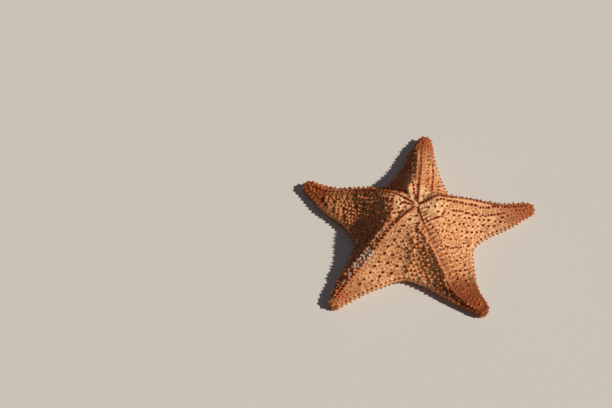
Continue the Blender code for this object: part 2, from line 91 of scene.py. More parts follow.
notches = {  # each follows the arm of its place
    "angle": np.array([48.8, 117.0, 194.8, 259.6, 335.0]),
    "reach": np.array([0.0530, 0.0566, 0.0590, 0.0621, 0.0583]),
    "valleyTurn": np.array([0.0, 0.0, 0.0, 1.5, 0.0]),
    "fallShare": np.array([0.60, 0.60, 0.68, 0.80, 0.64]),
    "fallPower": np.array([4.0, 4.0, 4.0, 6.0, 4.0]),
}
shoulders = (
    {"angle": 18.4, "way": 0.020, "height": 0.0050, "width": 0.0085},
    {"angle": 84.8, "way": 0.024, "height": 0.0015, "width": 0.0100},
    {"angle": 172.0, "way": 0.0240, "height": 0.0040, "width": 0.0075},
)
armCount = len(arms["angle"])


def wrapped(angle):
    return (angle + 180) % 360 - 180


def smooth(value):
    value = np.clip(value, 0, 1)
    return value * value * (3 - 2 * value)


# 0 before a span, given as its start and width, and 1 past it
def rising(value, span):
    start, width = span
    return smooth((value - start) / width)


# Points in plan are complex numbers, x + iy
def outFrom(way, angle):
    return way * np.exp(1j * np.radians(angle))


def inSpace(plan, height):
    return np.stack(np.broadcast_arrays(plan.real, plan.imag, height), axis=-1)


def sideOf(i, a):
    return np.where(a >= 0, i, i - 1)


# Edge of arm i before it bows, as way out and swing off its axis
# a is -1 and 1 in the notches and 0 at the tip
def edgeOf(i, a):
    side = sideOf(i, a)
    turn = np.abs(wrapped(notches["angle"][side] - arms["angle"][i]))
    share = np.abs(a)
    tipCentre = arms["reach"][i] - body["tipRadius"]
    beta = body["tipArc"] * np.minimum(1, share / body["tipShare"])
    start = tipCentre + outFrom(body["tipRadius"], beta)
    end = outFrom(notches["reach"][side], turn)
    first = start + 1j * outFrom(body["sidePull"], body["tipArc"])
    second = end - 1j * outFrom(body["notchPull"], turn)
    t = np.clip((share - body["tipShare"]) / (1 - body["tipShare"]), 0, 1)
    point = (1 - t) ** 3 * start + 3 * t * (1 - t) ** 2 * first + 3 * t * t * (1 - t) * second + t ** 3 * end
    return np.abs(point), np.degrees(np.angle(point)) * np.where(a >= 0, 1, -1)


def bowTurn(i, way):
    share = np.clip((way / arms["reach"][i] - body["bowStart"]) / (1 - body["bowStart"]), 0, 1)
    return np.degrees(arms["bow"][i] * np.sin(np.pi * share) ** 2 / np.maximum(way, 0.001))


def crestAngle(i, v):
    return arms["angle"][i] + arms["crestTurn"][i] * (1 - v ** arms["turnFade"][i])


def wayOut(reach, v):
    return v * body["meanReach"] * (reach / body["meanReach"]) ** (0.5 + 0.5 * v)


# Points of the top: v is 0 over the mouth and 1 at the edge
def topPoints(i, a, v):
    side = sideOf(i, a)
    reach, swing = edgeOf(i, a)
    crest = crestAngle(i, v)
    valley = notches["angle"][side] + notches["valleyTurn"][side] * (1 - v ** body["valleyFade"])
    spread = np.where(a >= 0, 1.0, arms["lowSpread"][i])
    spread = 1 - (1 - spread) * (1 - v ** body["spreadFade"])
    share = np.abs(swing / wrapped(notches["angle"][side] - arms["angle"][i]))
    offCrest = share ** spread * wrapped(valley - crest)
    way = wayOut(reach, v)
    plan = outFrom(way, crest + offCrest + bowTurn(i, way))
    toValley = np.abs(a) ** np.where(a >= 0, body["valleyBlend"], arms["lowBlend"][i])
    fallShare = body["fallShare"] + toValley * (notches["fallShare"][side] - body["fallShare"])
    fallPower = body["fallPower"] + toValley * (notches["fallPower"][side] - body["fallPower"])
    fall = 1 / (1 + (v / fallShare) ** fallPower)
    height = body["edgeHeight"] + (body["topHeight"] - body["edgeHeight"]) * fall
    beside = way * np.sin(np.radians(offCrest))
    ends = np.sin(np.pi * np.clip(v, 0, 1)) ** body["endPower"]
    height = height + ends * arms["ridge"][i] * np.exp(-((beside / body["ridgeWidth"]) ** 2))
    off = (beside / (arms["shelfWidth"][i] * (1 - body["shelfTaper"] * v))) ** 2
    begun = smooth((v - arms["shelfStart"][i]) / body["shelfRise"])
    shelf = np.where(a >= 0, arms["highShelf"][i], arms["lowShelf"][i])
    height = height + ends * begun * np.sqrt(fall) * shelf * off * np.exp(1 - off)
    drop = np.where(a >= 0, 0.0, arms["lowDrop"][i])
    outer = v ** body["dropPower"]
    height = height - drop * (1 - toValley) * outer * smooth(np.abs(beside) / body["dropWidth"])
    for shoulder in shoulders:
        away = np.abs(plan - outFrom(shoulder["way"], shoulder["angle"]))
        height = height + shoulder["height"] * np.exp(-((away / shoulder["width"]) ** 2))
    return inSpace(plan, height)


# Along an arm's axis, bowed as the arm is, then off to one side of it
def besideAxis(i, way, beside):
    axis = arms["angle"][i] + bowTurn(i, way)
    return outFrom(way, axis) + 1j * outFrom(beside, axis)


def treeOf(points):
    tree = KDTree(len(points))
    for k, point in enumerate(points):
        tree.insert(point, k)
    tree.balance()
    return tree


def unit(vectors):
    return vectors / np.maximum(1e-12, np.linalg.norm(vectors, axis=-1, keepdims=True))


def topNormals(i, a, v, step=0.01):
    a = np.clip(a, step - 1, 1 - step)
    across = topPoints(i, a + step, v) - topPoints(i, a - step, v)
    outward = topPoints(i, a, v + step) - topPoints(i, a, v - step)
    normal = unit(np.cross(outward, across))
    return normal * np.where(normal[..., 2:] > 0, 1, -1)


def edgeOutward(i, a, step=0.01):
    along = topPoints(i, np.minimum(1, a + step), 1.0) - topPoints(i, np.maximum(-1, a - step), 1.0)
    return unit(np.stack([along[..., 1], -along[..., 0], 0 * along[..., 0]], axis=-1))


def edgePoints(i, a, out, share):
    top = topPoints(i, a, 1.0)
    place = top + out * edgeOutward(i, a)
    place[..., 2] = share * top[..., 2]
    return place


# Points of the underside, straight above the floor, with the grooves of the tube feet and the mouth sunk in
under = {
    "gap": 0.0008,
    "grooveStart": 0.006,
    "grooveEndLeft": 0.0060,
    "grooveWidths": (0.0056, 0.0030),
    "grooveDepths": (0.0042, 0.0022),
    "mouthRadius": 0.0108,
    "mouthDepth": 0.0046,
    "mouthFade": 0.002,
    "startFade": 0.003,
    "endFade": 0.004,
    "wallTurn": 1.35,
}


def grooveSizes(i, way):
    share = np.clip(way / arms["reach"][i], 0, 1)
    width = under["grooveWidths"][0] + share * (under["grooveWidths"][1] - under["grooveWidths"][0])
    depth = under["grooveDepths"][0] + share * (under["grooveDepths"][1] - under["grooveDepths"][0])
    return width, depth


def underPoints(i, a, v):
    reach, swing = edgeOf(i, a)
    way = wayOut(reach, v)
    plan = outFrom(way, arms["angle"][i] + swing + bowTurn(i, way))
    width, depth = grooveSizes(i, way)
    beside = np.abs(way * np.sin(np.radians(swing)))
    left = arms["reach"][i] - under["grooveEndLeft"] - way
    ends = smooth((way - under["grooveStart"]) / under["startFade"]) * smooth(left / under["endFade"])
    groove = depth * ends * smooth(under["wallTurn"] - beside / (0.5 * width))
    mouth = under["mouthDepth"] * smooth((under["mouthRadius"] - way) / under["mouthFade"] + 0.5)
    return inSpace(plan, under["gap"] + np.maximum(groove, mouth))


# Where the spines grow: rows, then an even scatter
spines = {
    "crestStart": 0.0045,
    "crestEndLeft": 0.006,
    "crestOuter": 0.028,
    "crestSteps": (0.0027, 0.0036),  # inside and outside crestOuter
    "crestSize": 1.05,
    "rowStep": 0.0031,
    "rowFirst": 0.4,
    "rowRoom": 0.6,
    "edgeStep": 0.0047,
    "edgeEndLeft": 0.3,
    "lowSteps": (0.0054, 0.0064, 0.0046, 0.0041, 0.0035),  # between the rows of a face, where a is below 0
    "highSteps": (0.0046, 0.0040, 0.0035, 0.0070, 0.0060),
    "faceStart": 0.008,
    "faceReach": 0.05,
    "faceOff": 0.0012,
    "faceRoom": 0.68,
    "denseBelow": 0.0045,
    "denseFrom": 0.026,
    "thinned": 0.6,  # share left out where close rows reach the disc
    "smallStep": 0.0031,
    "smallSize": 0.50,
    "tipStep": 0.0026,
    "tipSize": 0.85,
    "tipStart": 0.78,
    "tipWidth": 0.15,
    "discClear": 0.0012,
    "discSpan": (0.015, 0.010),
    "tries": 30000,
    "triesSpan": (0.02, 0.97),
    "triesPower": 0.6,
    "seamSpan": (0.03, 0.92, 260),
    "seamStep": 0.0005,
    "sieveClear": 0.0045,
    "seed": 11,
}
# The two rows along the edge: how far out and how high up it, the first in steps, lift and size
edgeRows = (
    {"out": 0.0010, "share": 0.86, "first": 0.75, "lift": 0.55, "size": 0.95},
    {"out": 0.0015, "share": 0.42, "first": 0.25, "lift": 0.12, "size": 0.75},
)
# Limits of the random draws, for sizes and, as shares of a step, for places
limits = {
    "crest": (0.85, 1.12),
    "crestStep": (0.9, 1.12),
    "row": (0.8, 1.1),
    "rowStep": (0.88, 1.15),
    "edge": (0.85, 1.1),
    "edgeStep": (0.92, 1.08),
    "face": (0.85, 1.1),
    "faceStep": (0.92, 1.08),
    "along": (-0.15, 0.15),
    "across": (-0.12, 0.12),
    "dense": (0.95, 1.25),
    "small": (0.8, 1.2),
    "tall": (0.85, 1.15),
}
# Rows of spines that run beside the crests and over the disc, as points in plan in millimetres
spineRows = (
    ((-3, 0), (-10, 2), (-16, 2)),
    ((-3, -5), (-8, -9), (-15, -10), (-21, -8)),
    ((-19, 12), (-22, 9), (-24, 3), (-23, -5)),
    ((-19, 12), (-13, 17), (-6, 21)),
    ((2, -8), (5, -10), (12, -10)),
    ((1, -21), (-2, -28), (-1, -36), (0, -47)),
    ((7, -17), (10, -21), (15, -27), (19, -33), (20, -41), (27, -47), (32, -58), (36, -70), (44, -82)),
    ((9, -20), (17, -14), (23, -10), (26, -3)),
    ((20, -41), (32, -36), (43, -30)),
    ((33, -61), (47, -54)),
    ((-2, 13), (-4, 31), (-2, 53), (1, 77), (6, 96), (10, 108)),
    ((15, 23), (20, 55), (22, 77)),
    ((-22, -10), (-27, -11), (-34, -15), (-42, -22), (-48, -33)),
    ((18, 3), (30, 6), (47, 10), (64, 13), (80, 16), (96, 19)),
    ((34, -1), (41, 2), (53, 4), (72, 8), (88, 13)),
)
# Where the crest of one arm is worn pale
wornPatches = (
    {"at": (-0.0465, -0.0455), "radius": 0.0040},
    {"at": (-0.0525, -0.0500), "radius": 0.0045},
    {"at": (-0.0585, -0.0550), "radius": 0.0035},
    {"at": (-0.0650, -0.0620), "radius": 0.0020},
    {"at": (-0.0710, -0.0690), "radius": 0.0020},
)
wornEnd = 1.5  # radii from its middle at which a patch ends
draw = random.Random(spines["seed"])
sieve = {"angle": 318.0, "way": 0.0135}
sievePlan = outFrom(sieve["way"], sieve["angle"])


def wornAt(plan):
    away = min(abs(plan - complex(*patch["at"])) / patch["radius"] for patch in wornPatches)
    return float(smooth(wornEnd - away))


def clearOfSieve(plan):
    return abs(plan - sievePlan) > spines["sieveClear"]


# Places where something grows, each with its root, direction and size
class Places:
    def __init__(self):
        self.roots = np.zeros((0, 3))
        self.facts = []
        self.seams = []

    def room(self, root, step):
        if not len(self.roots):
            return True
        return np.min(np.sum((self.roots - root) ** 2, axis=1)) > step * step

    def add(self, root, out, **facts):
        self.roots = np.vstack([self.roots, root])
        self.facts.append(dict(facts, out=out))


# Rows along each face of an arm, parallel to its axis and staggered
def growFaces(grown, samples, directions, sampleArm, sampleSide):
    tree = treeOf([(x, y, 0) for x, y, z in samples])
    for i in range(armCount):
        for hand, step in ((-1, spines["lowSteps"][i]), (1, spines["highSteps"][i])):
            close = step < spines["denseBelow"]
            for row in range(1, int(spines["faceReach"] / step)):
                way = spines["faceStart"] + 0.5 * step * (row % 2)
                while way < spines["tipStart"] * arms["reach"][i]:
                    along = way + draw.uniform(*limits["along"]) * step
                    plan = besideAxis(i, along, hand * step * (row + draw.uniform(*limits["across"])))
                    way += step * draw.uniform(*limits["faceStep"])
                    place, k, away = tree.find((plan.real, plan.imag, 0))
                    if away > spines["faceOff"] or sampleArm[k] != i or sampleSide[k] * hand < 0:
                        continue
                    if not (clearOfSieve(plan) and grown.room(samples[k], spines["faceRoom"] * step)):
                        continue
                    dense = close and abs(plan) > spines["denseFrom"]
                    if close and not dense and draw.random() < spines["thinned"]:
                        continue
                    size = draw.uniform(*limits["dense" if dense else "face"])
                    grown.add(samples[k], directions[k], size=size, kind="face", dense=dense)


def growEdges(grown):
    fine = np.linspace(-1, 1, 1200)
    for i in range(armCount):
        for row in edgeRows:
            line = edgePoints(i, fine, row["out"], row["share"])
            outward = edgeOutward(i, fine)
            run = np.concatenate([[0], np.cumsum(np.linalg.norm(np.diff(line, axis=0), axis=1))])
            at = spines["edgeStep"] * row["first"]
            while at < run[-1] - spines["edgeEndLeft"] * spines["edgeStep"]:
                k = int(np.searchsorted(run, at))
                out = (Vector(outward[k]) + Vector((0, 0, row["lift"]))).normalized()
                size = row["size"] * draw.uniform(*limits["edge"])
                grown.add(line[k], np.array(out), size=size, kind="edge")
                at += spines["edgeStep"] * draw.uniform(*limits["edgeStep"])


def growSpines():
    grown = Places()
    generator = np.random.default_rng(spines["seed"])
    shares = np.linspace(0, 1, 200)
    for i in range(armCount):
        way = spines["crestStart"]
        while way < arms["reach"][i] - spines["crestEndLeft"]:
            v = np.interp(way, wayOut(arms["reach"][i], shares), shares)
            root = topPoints(i, 0.0, v)
            if clearOfSieve(complex(root[0], root[1])):
                size = spines["crestSize"] * draw.uniform(*limits["crest"])
                grown.add(root, topNormals(i, 0.0, v), size=size, kind="crest")
            way += spines["crestSteps"][way > spines["crestOuter"]] * draw.uniform(*limits["crestStep"])
        grown.seams.extend((x, y, 0) for x, y, z in topPoints(i, 0.0, np.linspace(*spines["seamSpan"])))
    low, high = spines["triesSpan"]
    sampleArm = generator.integers(0, armCount, spines["tries"])
    sampleSide = generator.uniform(-1, 1, spines["tries"])
    v = low + (high - low) * generator.random(spines["tries"]) ** spines["triesPower"]
    samples = topPoints(sampleArm, sampleSide, v)
    directions = topNormals(sampleArm, sampleSide, v)
    plans = samples[:, 0] + 1j * samples[:, 1]
    for row in spineRows:
        line = np.array([complex(x, y) / 1000 for x, y in row])
        run = np.concatenate([[0], np.cumsum(np.abs(np.diff(line)))])
        for at in np.arange(0, run[-1], spines["seamStep"]):
            grown.seams.append((np.interp(at, run, line.real), np.interp(at, run, line.imag), 0))
        at = spines["rowFirst"] * spines["rowStep"]
        while at < run[-1]:
            here = np.interp(at, run, line.real) + 1j * np.interp(at, run, line.imag)
            k = int(np.argmin(np.abs(plans - here)))
            if clearOfSieve(here) and grown.room(samples[k], spines["rowRoom"] * spines["rowStep"]):
                grown.add(samples[k], directions[k], size=draw.uniform(*limits["row"]), kind="row")
            at += spines["rowStep"] * draw.uniform(*limits["rowStep"])
    growEdges(grown)
    growFaces(grown, samples, directions, sampleArm, sampleSide)
    beyond = np.abs(plans) / arms["reach"][sampleArm]
    beyond = rising(beyond, (spines["tipStart"], spines["tipWidth"]))
    sizes = spines["smallSize"] + (spines["tipSize"] - spines["smallSize"]) * beyond
    sizes = generator.uniform(*limits["small"], len(samples)) * sizes
    for k, (root, out) in enumerate(zip(samples, directions)):
        plan = complex(root[0], root[1])
        step = spines["smallStep"] + (spines["tipStep"] - spines["smallStep"]) * beyond[k]
        step += spines["discClear"] * float(1 - rising(abs(plan), spines["discSpan"]))
        if clearOfSieve(plan) and grown.room(root, step):
            grown.add(root, out, size=sizes[k], kind="small")
    kinds = [fact["kind"] for fact in grown.facts]
    print("spines:", len(kinds), {kind: kinds.count(kind) for kind in sorted(set(kinds))})
    return grown


grown = growSpines()


# One skin over the whole body: rings from the middle of the top to the edge, then in again below
skin = {
    "halfColumns": 80,
    "tipColumns": 0.10,
    "topStep": 0.00095,
    "topSpan": (0.015, 1.0),
    "underStep": 0.0016,
    "underSpan": (0.02, 0.985),
    "levels": ((0.06, 16), (0.12, 8), (0.25, 4), (0.50, 2), (9.0, 1)),
    "edgeRings": ((0.0006, 0.90), (0.0011, 0.76), (0.0014, 0.58), (0.0012, 0.38), (0.0004, 0.20)),
    "bossHeight": 0.00065,
    "bossWidth": 0.0016,
    "meshHeight": 0.00075,
    "meshWidth": 0.00085,
    "linkReach": 0.0078,
    "linkCount": 7,
    "nearLinks": 9,
    "seamDepth": 0.0005,
    "seamWidth": 0.0012,
    "ribSteps": np.array([0.0026, 0.0022, 0.0030, 0.0030, 0.0041]),
    "lowRibs": np.array([0.00010, 0.00032, 0.00020, 0.00025, 0.00030]),  # heights, where a is below 0
    "highRibs": np.array([0.00020, 0.00020, 0.00030, 0.00012, 0.00170]),
    "lowPaintedShade": np.array([0.0, 0.0, 0.0, 1.0, 0.15]),  # painted shade: the skin of the faces turned from the key is darkened where the nodules stand close
    "highPaintedShade": np.array([0.0, 0.75, 1.0, 0.0, 0.0]),
    # Ends of the arms: darker red tips and granules, and on the near right arm also painted shade over its
    # outer third
    "tipTone": np.array([1.0, 1.0, 1.0, 0.65, 1.2]),
    "tipGrainsAndShade": np.array([0.3, 0.2, 0.4, 0.2, 1.0]),
    "crestBlend": 0.15,
    "denseStart": 0.9,
    "denseWidth": 0.004,
    "denseRise": 0.5,
    "granularSpan": (0.60, 0.16),
    "seamLoss": 0.6,
    "seamReach": 0.5,
    "plateScale": 215.0,  # plates of the underside for each metre
    "plateDepth": 0.00040,
    "plateGap": 0.30,
    "plateGrooveShade": 0.7,
    "plateFacing": -0.5,
    "ribStart": 0.75,
    "ribReach": 0.011,
    "ribSlant": 0.4,
    "ribUneven": 0.25,
    "ribPower": 0.6,
    "ribLeast": 0.25,
    "ribLoss": 0.6,
    "ribEnd": (0.60, 0.15),
    "ribEndLoss": 0.8,
    "roughScale": 420,
    "roughHeight": 0.00012,
    "aboveSpan": (0.0012, 0.002),
    "facingWidth": 0.3,
    "facingShift": 0.9,
    "collarWidth": 0.0019,
    "tipSpan": (0.62, 0.36),
    "discSpan": (0.018, 0.010),
    "bossClear": 1.3,
}


def ringColumns(step):
    count = skin["halfColumns"]
    tip = skin["tipColumns"]
    k = np.arange(step - count, count + 1, step)
    share = np.abs(k) / count
    inTip = share / tip * body["tipShare"]
    beyondTip = body["tipShare"] + (share - tip) / (1 - tip) * (1 - body["tipShare"])
    a = np.sign(k) * np.where(share < tip, inTip, beyondTip)
    return np.repeat(np.arange(armCount), len(k)), np.tile(a, armCount)


def levelAt(v, coarser=1):
    return coarser * next(step for limit, step in skin["levels"] if v < limit)


# Shares v whose places along an arm are evenly spaced
def evenShares(step, first, last):
    fine = np.linspace(first, last, 2000)
    ways = wayOut(arms["reach"].mean(), fine)
    count = max(2, round((ways[-1] - ways[0]) / step))
    return np.interp(np.linspace(ways[0], ways[-1], count + 1), ways, fine)


# Faces between two rings, in fans where one has more points than the other
def ringFaces(inner, outer):
    countIn, countOut = len(inner), len(outer)
    if countIn > countOut:
        return [face[::-1] for face in ringFaces(outer, inner)]
    faces = []
    ratio = countOut // countIn
    half = ratio // 2
    for k in range(countIn):
        after = inner[(k + 1) % countIn]
        if ratio == 1:
            faces.append((inner[k], outer[k], outer[(k + 1) % countOut], after))
            continue
        fan = [outer[(ratio * k + n) % countOut] for n in range(ratio + 1)]
        for n in range(ratio):
            faces.append((inner[k] if n < half else after, fan[n], fan[n + 1]))
        faces.append((inner[k], fan[half], after))
    return faces


# Faces of a closed form of rings, given as point numbers, with one point at each end
def closedFaces(rings, first, last):
    faces = [face for inner, outer in zip(rings, rings[1:]) for face in ringFaces(inner, outer)]
    for k, point in enumerate(rings[0]):
        faces.append((first, point, rings[0][(k + 1) % len(rings[0])]))
    for k, point in enumerate(rings[-1]):
        faces.append((point, last, rings[-1][(k + 1) % len(rings[-1])]))
    return faces


def skinRings():
    rings = []
    for v in evenShares(skin["topStep"], *skin["topSpan"]):
        i, a = ringColumns(levelAt(v))
        rings.append((topPoints(i, a, v), i, a))
    for out, share in skin["edgeRings"]:
        i, a = ringColumns(1)
        rings.append((edgePoints(i, a, out, share), i, a))
    for v in evenShares(skin["underStep"], *skin["underSpan"])[::-1]:
        i, a = ringColumns(levelAt(v, 2))
        rings.append((underPoints(i, a, v), i, a))
    return rings


# Value of each point from one value for each side of each arm, blended where two arms meet
def sideValues(low, high, i, a, start):
    own = np.where(a >= 0, high[i], low[i])
    other = np.where(a >= 0, low[(i + 1) % armCount], high[i - 1])
    across = np.where(a >= 0, low[i], high[i])
    near = np.abs(a)
    value = own + 0.5 * (other - own) * smooth((near - start) / (1 - start))
    return value + 0.5 * (across - own) * (1 - smooth(near / skin["crestBlend"]))


def meshFrom(name, points, faces):
    mesh = bpy.data.meshes.new(name)
    mesh.from_pydata([tuple(point) for point in points], [], faces)
    mesh.validate()
    mesh.shade_smooth()
    piece = bpy.data.objects.new(name, mesh)
    bpy.context.scene.collection.objects.link(piece)
    return piece


def setAttributes(mesh, kind="FLOAT", **layers):
    for name, values in layers.items():
        layer = mesh.attributes.new(name, kind, "POINT")
        flat = np.asarray(values, dtype=np.float32).ravel()
        layer.data.foreach_set("vector" if kind == "FLOAT_VECTOR" else "value", flat)


def coordinates(mesh, what="co"):
    values = np.empty(3 * len(mesh.vertices), dtype=np.float32)
    if what == "co":
        mesh.vertices.foreach_get("co", values)
    else:
        mesh.vertex_normals.foreach_get("vector", values)
    return values.reshape(-1, 3).astype(float)


def setCoordinates(mesh, points):
    mesh.vertices.foreach_set("co", np.asarray(points, dtype=np.float32).ravel())
    mesh.update()


# Ridges that join neighbouring spines, as pairs of roots
def ridgeLinks():
    large = [k for k, fact in enumerate(grown.facts) if fact["kind"] != "small"]
    roots = grown.roots[large]
    tree = treeOf(roots)
    links = set()
    for k, root in enumerate(roots):
        for place, other, away in tree.find_n(root, skin["linkCount"]):
            if other != k and away < skin["linkReach"]:
                links.add((min(k, other), max(k, other)))
    links = np.array(sorted(links))
    return roots[links[:, 0]], roots[links[:, 1]]


def nearest(points, targets, count):
    tree = treeOf(targets)
    return np.array([[found[1] for found in tree.find_n(point, count)] for point in points])


def toLinks(points, starts, ends):
    found = nearest(points, (starts + ends) / 2, skin["nearLinks"])
    start = starts[found]
    along = ends[found] - start
    off = points[:, None, :] - start
    share = np.clip(np.sum(off * along, axis=2) / np.sum(along * along, axis=2), 0, 1)
    return np.linalg.norm(off - share[..., None] * along, axis=2).min(axis=1)


def plainSkin():
    rings = skinRings()
    points = []
    indices = []
    for ring, i, a in rings:
        indices.append(np.arange(len(points), len(points) + len(ring)).tolist())
        points.extend(ring)
    points.append(topPoints(0, 0.0, 0.0))
    points.append(np.array([0, 0, under["gap"] + under["mouthDepth"]]))
    arm = np.concatenate([ring[1] for ring in rings] + [[0, 0]])
    side = np.concatenate([ring[2] for ring in rings] + [[0.0, 0.0]])
    faces = closedFaces(indices, len(points) - 2, len(points) - 1)
    return meshFrom("skin", np.array(points), faces), arm, side


# The relief of the skin: net, bosses, ribs and seams above, plates below
def makeSkin():
    piece, arm, side = plainSkin()
    mesh = piece.data
    base = coordinates(mesh)
    normals = coordinates(mesh, "normals")
    toRidge = toLinks(base, *ridgeLinks())
    near = nearest(base, grown.roots, 1)[:, 0]
    toRoot = np.linalg.norm(base - grown.roots[near], axis=1)
    sizes = np.array([fact["size"] for fact in grown.facts])[near]
    above = smooth(normals[:, 2] / skin["facingWidth"] + skin["facingShift"])
    above *= rising(base[:, 2], skin["aboveSpan"])
    plan = base[:, 0] + 1j * base[:, 1]
    beyond = np.abs(plan) / arms["reach"][arm]
    fromAxis = plan / outFrom(1, crestAngle(arm, np.clip(beyond, 0, 1)))
    # Painted shade: the skin is darkened on the faces turned from the key light, and over the outer third of
    # the near right arm
    dense = sideValues(skin["lowPaintedShade"], skin["highPaintedShade"], arm, side, skin["denseStart"])
    dense *= rising(np.abs(plan), (spines["denseFrom"], skin["denseWidth"]))
    granular = skin["tipGrainsAndShade"][arm] * rising(beyond, skin["granularSpan"])
    dense = np.maximum(dense, granular)
    seamTree = treeOf(grown.seams)
    toSeam = np.array([seamTree.find((x, y, 0))[2] for x, y, z in base])
    # Painted shade along the sunk seams of the spine rows
    seam = np.exp(-((toSeam / skin["seamWidth"]) ** 2))
    seam *= 1 - skin["seamLoss"] * smooth(beyond / skin["seamReach"])
    ridge = np.exp(-((toRidge / skin["meshWidth"]) ** 2))
    boss = sizes * np.exp(-((toRoot / (skin["bossWidth"] * np.sqrt(sizes))) ** 2))
    rough = np.array([noise.noise(Vector(point) * skin["roughScale"]) for point in base])
    turns = (fromAxis.real + skin["ribSlant"] * np.abs(fromAxis.imag)) / skin["ribSteps"][arm]
    turns += skin["ribUneven"] * rough
    rib = 2 * (0.5 + 0.5 * np.cos(2 * np.pi * turns)) ** skin["ribPower"] - 1
    tall = sideValues(skin["lowRibs"], skin["highRibs"], arm, side, skin["ribStart"])
    tall *= skin["ribLeast"] + (1 - skin["ribLeast"]) * np.exp(-((fromAxis.imag / skin["ribReach"]) ** 4))
    tall *= 1 - skin["ribEndLoss"] * rising(beyond, skin["ribEnd"])
    lift = skin["meshHeight"] * ridge + skin["bossHeight"] * boss
    lift *= 1 + skin["denseRise"] * dense + skin["denseRise"] * granular
    lift += tall * rib * (1 - skin["ribLoss"] * ridge)
    lift = above * (lift - skin["seamDepth"] * seam + skin["roughHeight"] * rough)
    cells = np.array([noise.voronoi(Vector(point) * skin["plateScale"])[0][:2] for point in base])
    groove = (1 - above) * (1 - smooth((cells[:, 1] - cells[:, 0]) / skin["plateGap"]))
    lift -= skin["plateDepth"] * groove * (normals[:, 2] < skin["plateFacing"])
    setCoordinates(mesh, base + normals * lift[:, None] + starCentre)
    # Painted shade: the hollows between the ribs, the gaps between the tip granules and the grooves between
    # the underside plates are darkened in colour
    shadedHollow = (0.5 - 0.5 * rib) * tall / skin["highRibs"].max()
    shadedHollow += granular * (1 - np.clip(skin["bossClear"] * boss, 0, 1))
    setAttributes(
        mesh,
        ridge=ridge * above,
        collar=np.exp(-((toRoot / skin["collarWidth"]) ** 2)) * sizes * above,
        tipward=rising(beyond, skin["tipSpan"]) * skin["tipTone"][arm],
        below=1 - above,
        dense=dense,
        disc=1 - rising(np.abs(plan), skin["discSpan"]),
        seam=seam * above,
        gap=above * shadedHollow + skin["plateGrooveShade"] * groove,
        worn=above * np.array([wornAt(complex(x, y)) for x, y, z in base]),
    )
    print("skin:", len(mesh.polygons), "faces,", len(base), "points")
    return piece


# Shader values: a wrapped socket that takes part in sums, and one way to add any other node
class Wire:
    def __init__(self, tree, socket):
        self.tree = tree
        self.socket = socket

    def maths(self, operation, first, second):
        node = self.tree.nodes.new("ShaderNodeMath")
        node.operation = operation
        for place, value in enumerate((first, second)):
            if isinstance(value, Wire):
                self.tree.links.new(value.socket, node.inputs[place])
            else:
                node.inputs[place].default_value = value
        return Wire(self.tree, node.outputs[0])

    def __add__(self, other):
        return self.maths("ADD", self, other)

    def __radd__(self, other):
        return self.maths("ADD", other, self)

    def __sub__(self, other):
        return self.maths("SUBTRACT", self, other)

    def __rsub__(self, other):
        return self.maths("SUBTRACT", other, self)

    def __mul__(self, other):
        return self.maths("MULTIPLY", self, other)

    def __rmul__(self, other):
        return self.maths("MULTIPLY", other, self)


class Graph:
    def __init__(self, tree):
        self.tree = tree

    def add(self, kind, settings=None, values=None, out=0):
        node = self.tree.nodes.new(kind)
        for key, value in (settings or {}).items():
            if key == "curve":
                line = node.mapping.curves[0]
                for place, (at, height) in enumerate(value):
                    if place < 2:
                        line.points[place].location = (at, height)
                    else:
                        line.points.new(at, height)
                node.mapping.update()
            else:
                setattr(node, key, value)
        for key, value in (values or {}).items():
            if isinstance(value, Wire):
                self.tree.links.new(value.socket, node.inputs[key])
            else:
                node.inputs[key].default_value = value
        return Wire(self.tree, node.outputs[out])

    def mix(self, share, first, second):
        first, second = ((*c, 1) if isinstance(c, tuple) else c for c in (first, second))
        values = {0: share, 6: first, 7: second}
        return self.add("ShaderNodeMix", {"data_type": "RGBA"}, values, out=2)

    def reach(self, value, low, high):
        values = {"Value": value, "From Min": low, "From Max": high}
        return self.add("ShaderNodeMapRange", {"clamp": True}, values)

    def noise(self, scale, detail):
        where = self.add("ShaderNodeTexCoord", out="Object")
        values = {"Vector": where, "Scale": scale, "Detail": detail, "Roughness": 0.55}
        return self.add("ShaderNodeTexNoise", None, values)

    def cells(self, scale):
        where = self.add("ShaderNodeTexCoord", out="Object")
        return self.add("ShaderNodeTexVoronoi", {"feature": "F1"}, {"Vector": where, "Scale": scale})

    def attribute(self, name):
        return self.add("ShaderNodeAttribute", {"attribute_name": name}, out="Fac")


def finish(name, roughness, specular):
    made = bpy.data.materials.new(name)
    made.use_nodes = True
    graph = Graph(made.node_tree)
    shader = made.node_tree.nodes["Principled BSDF"]
    shader.inputs["Specular IOR Level"].default_value = specular
    shader.inputs["Roughness"].default_value = roughness
    return made, graph, shader


def feed(graph, shader, colour, height, distance, strength):
    values = {"Height": height, "Distance": distance, "Strength": strength}
    normal = graph.add("ShaderNodeBump", None, values, out="Normal")
    graph.tree.links.new(colour.socket, shader.inputs["Base Color"])
    graph.tree.links.new(normal.socket, shader.inputs["Normal"])


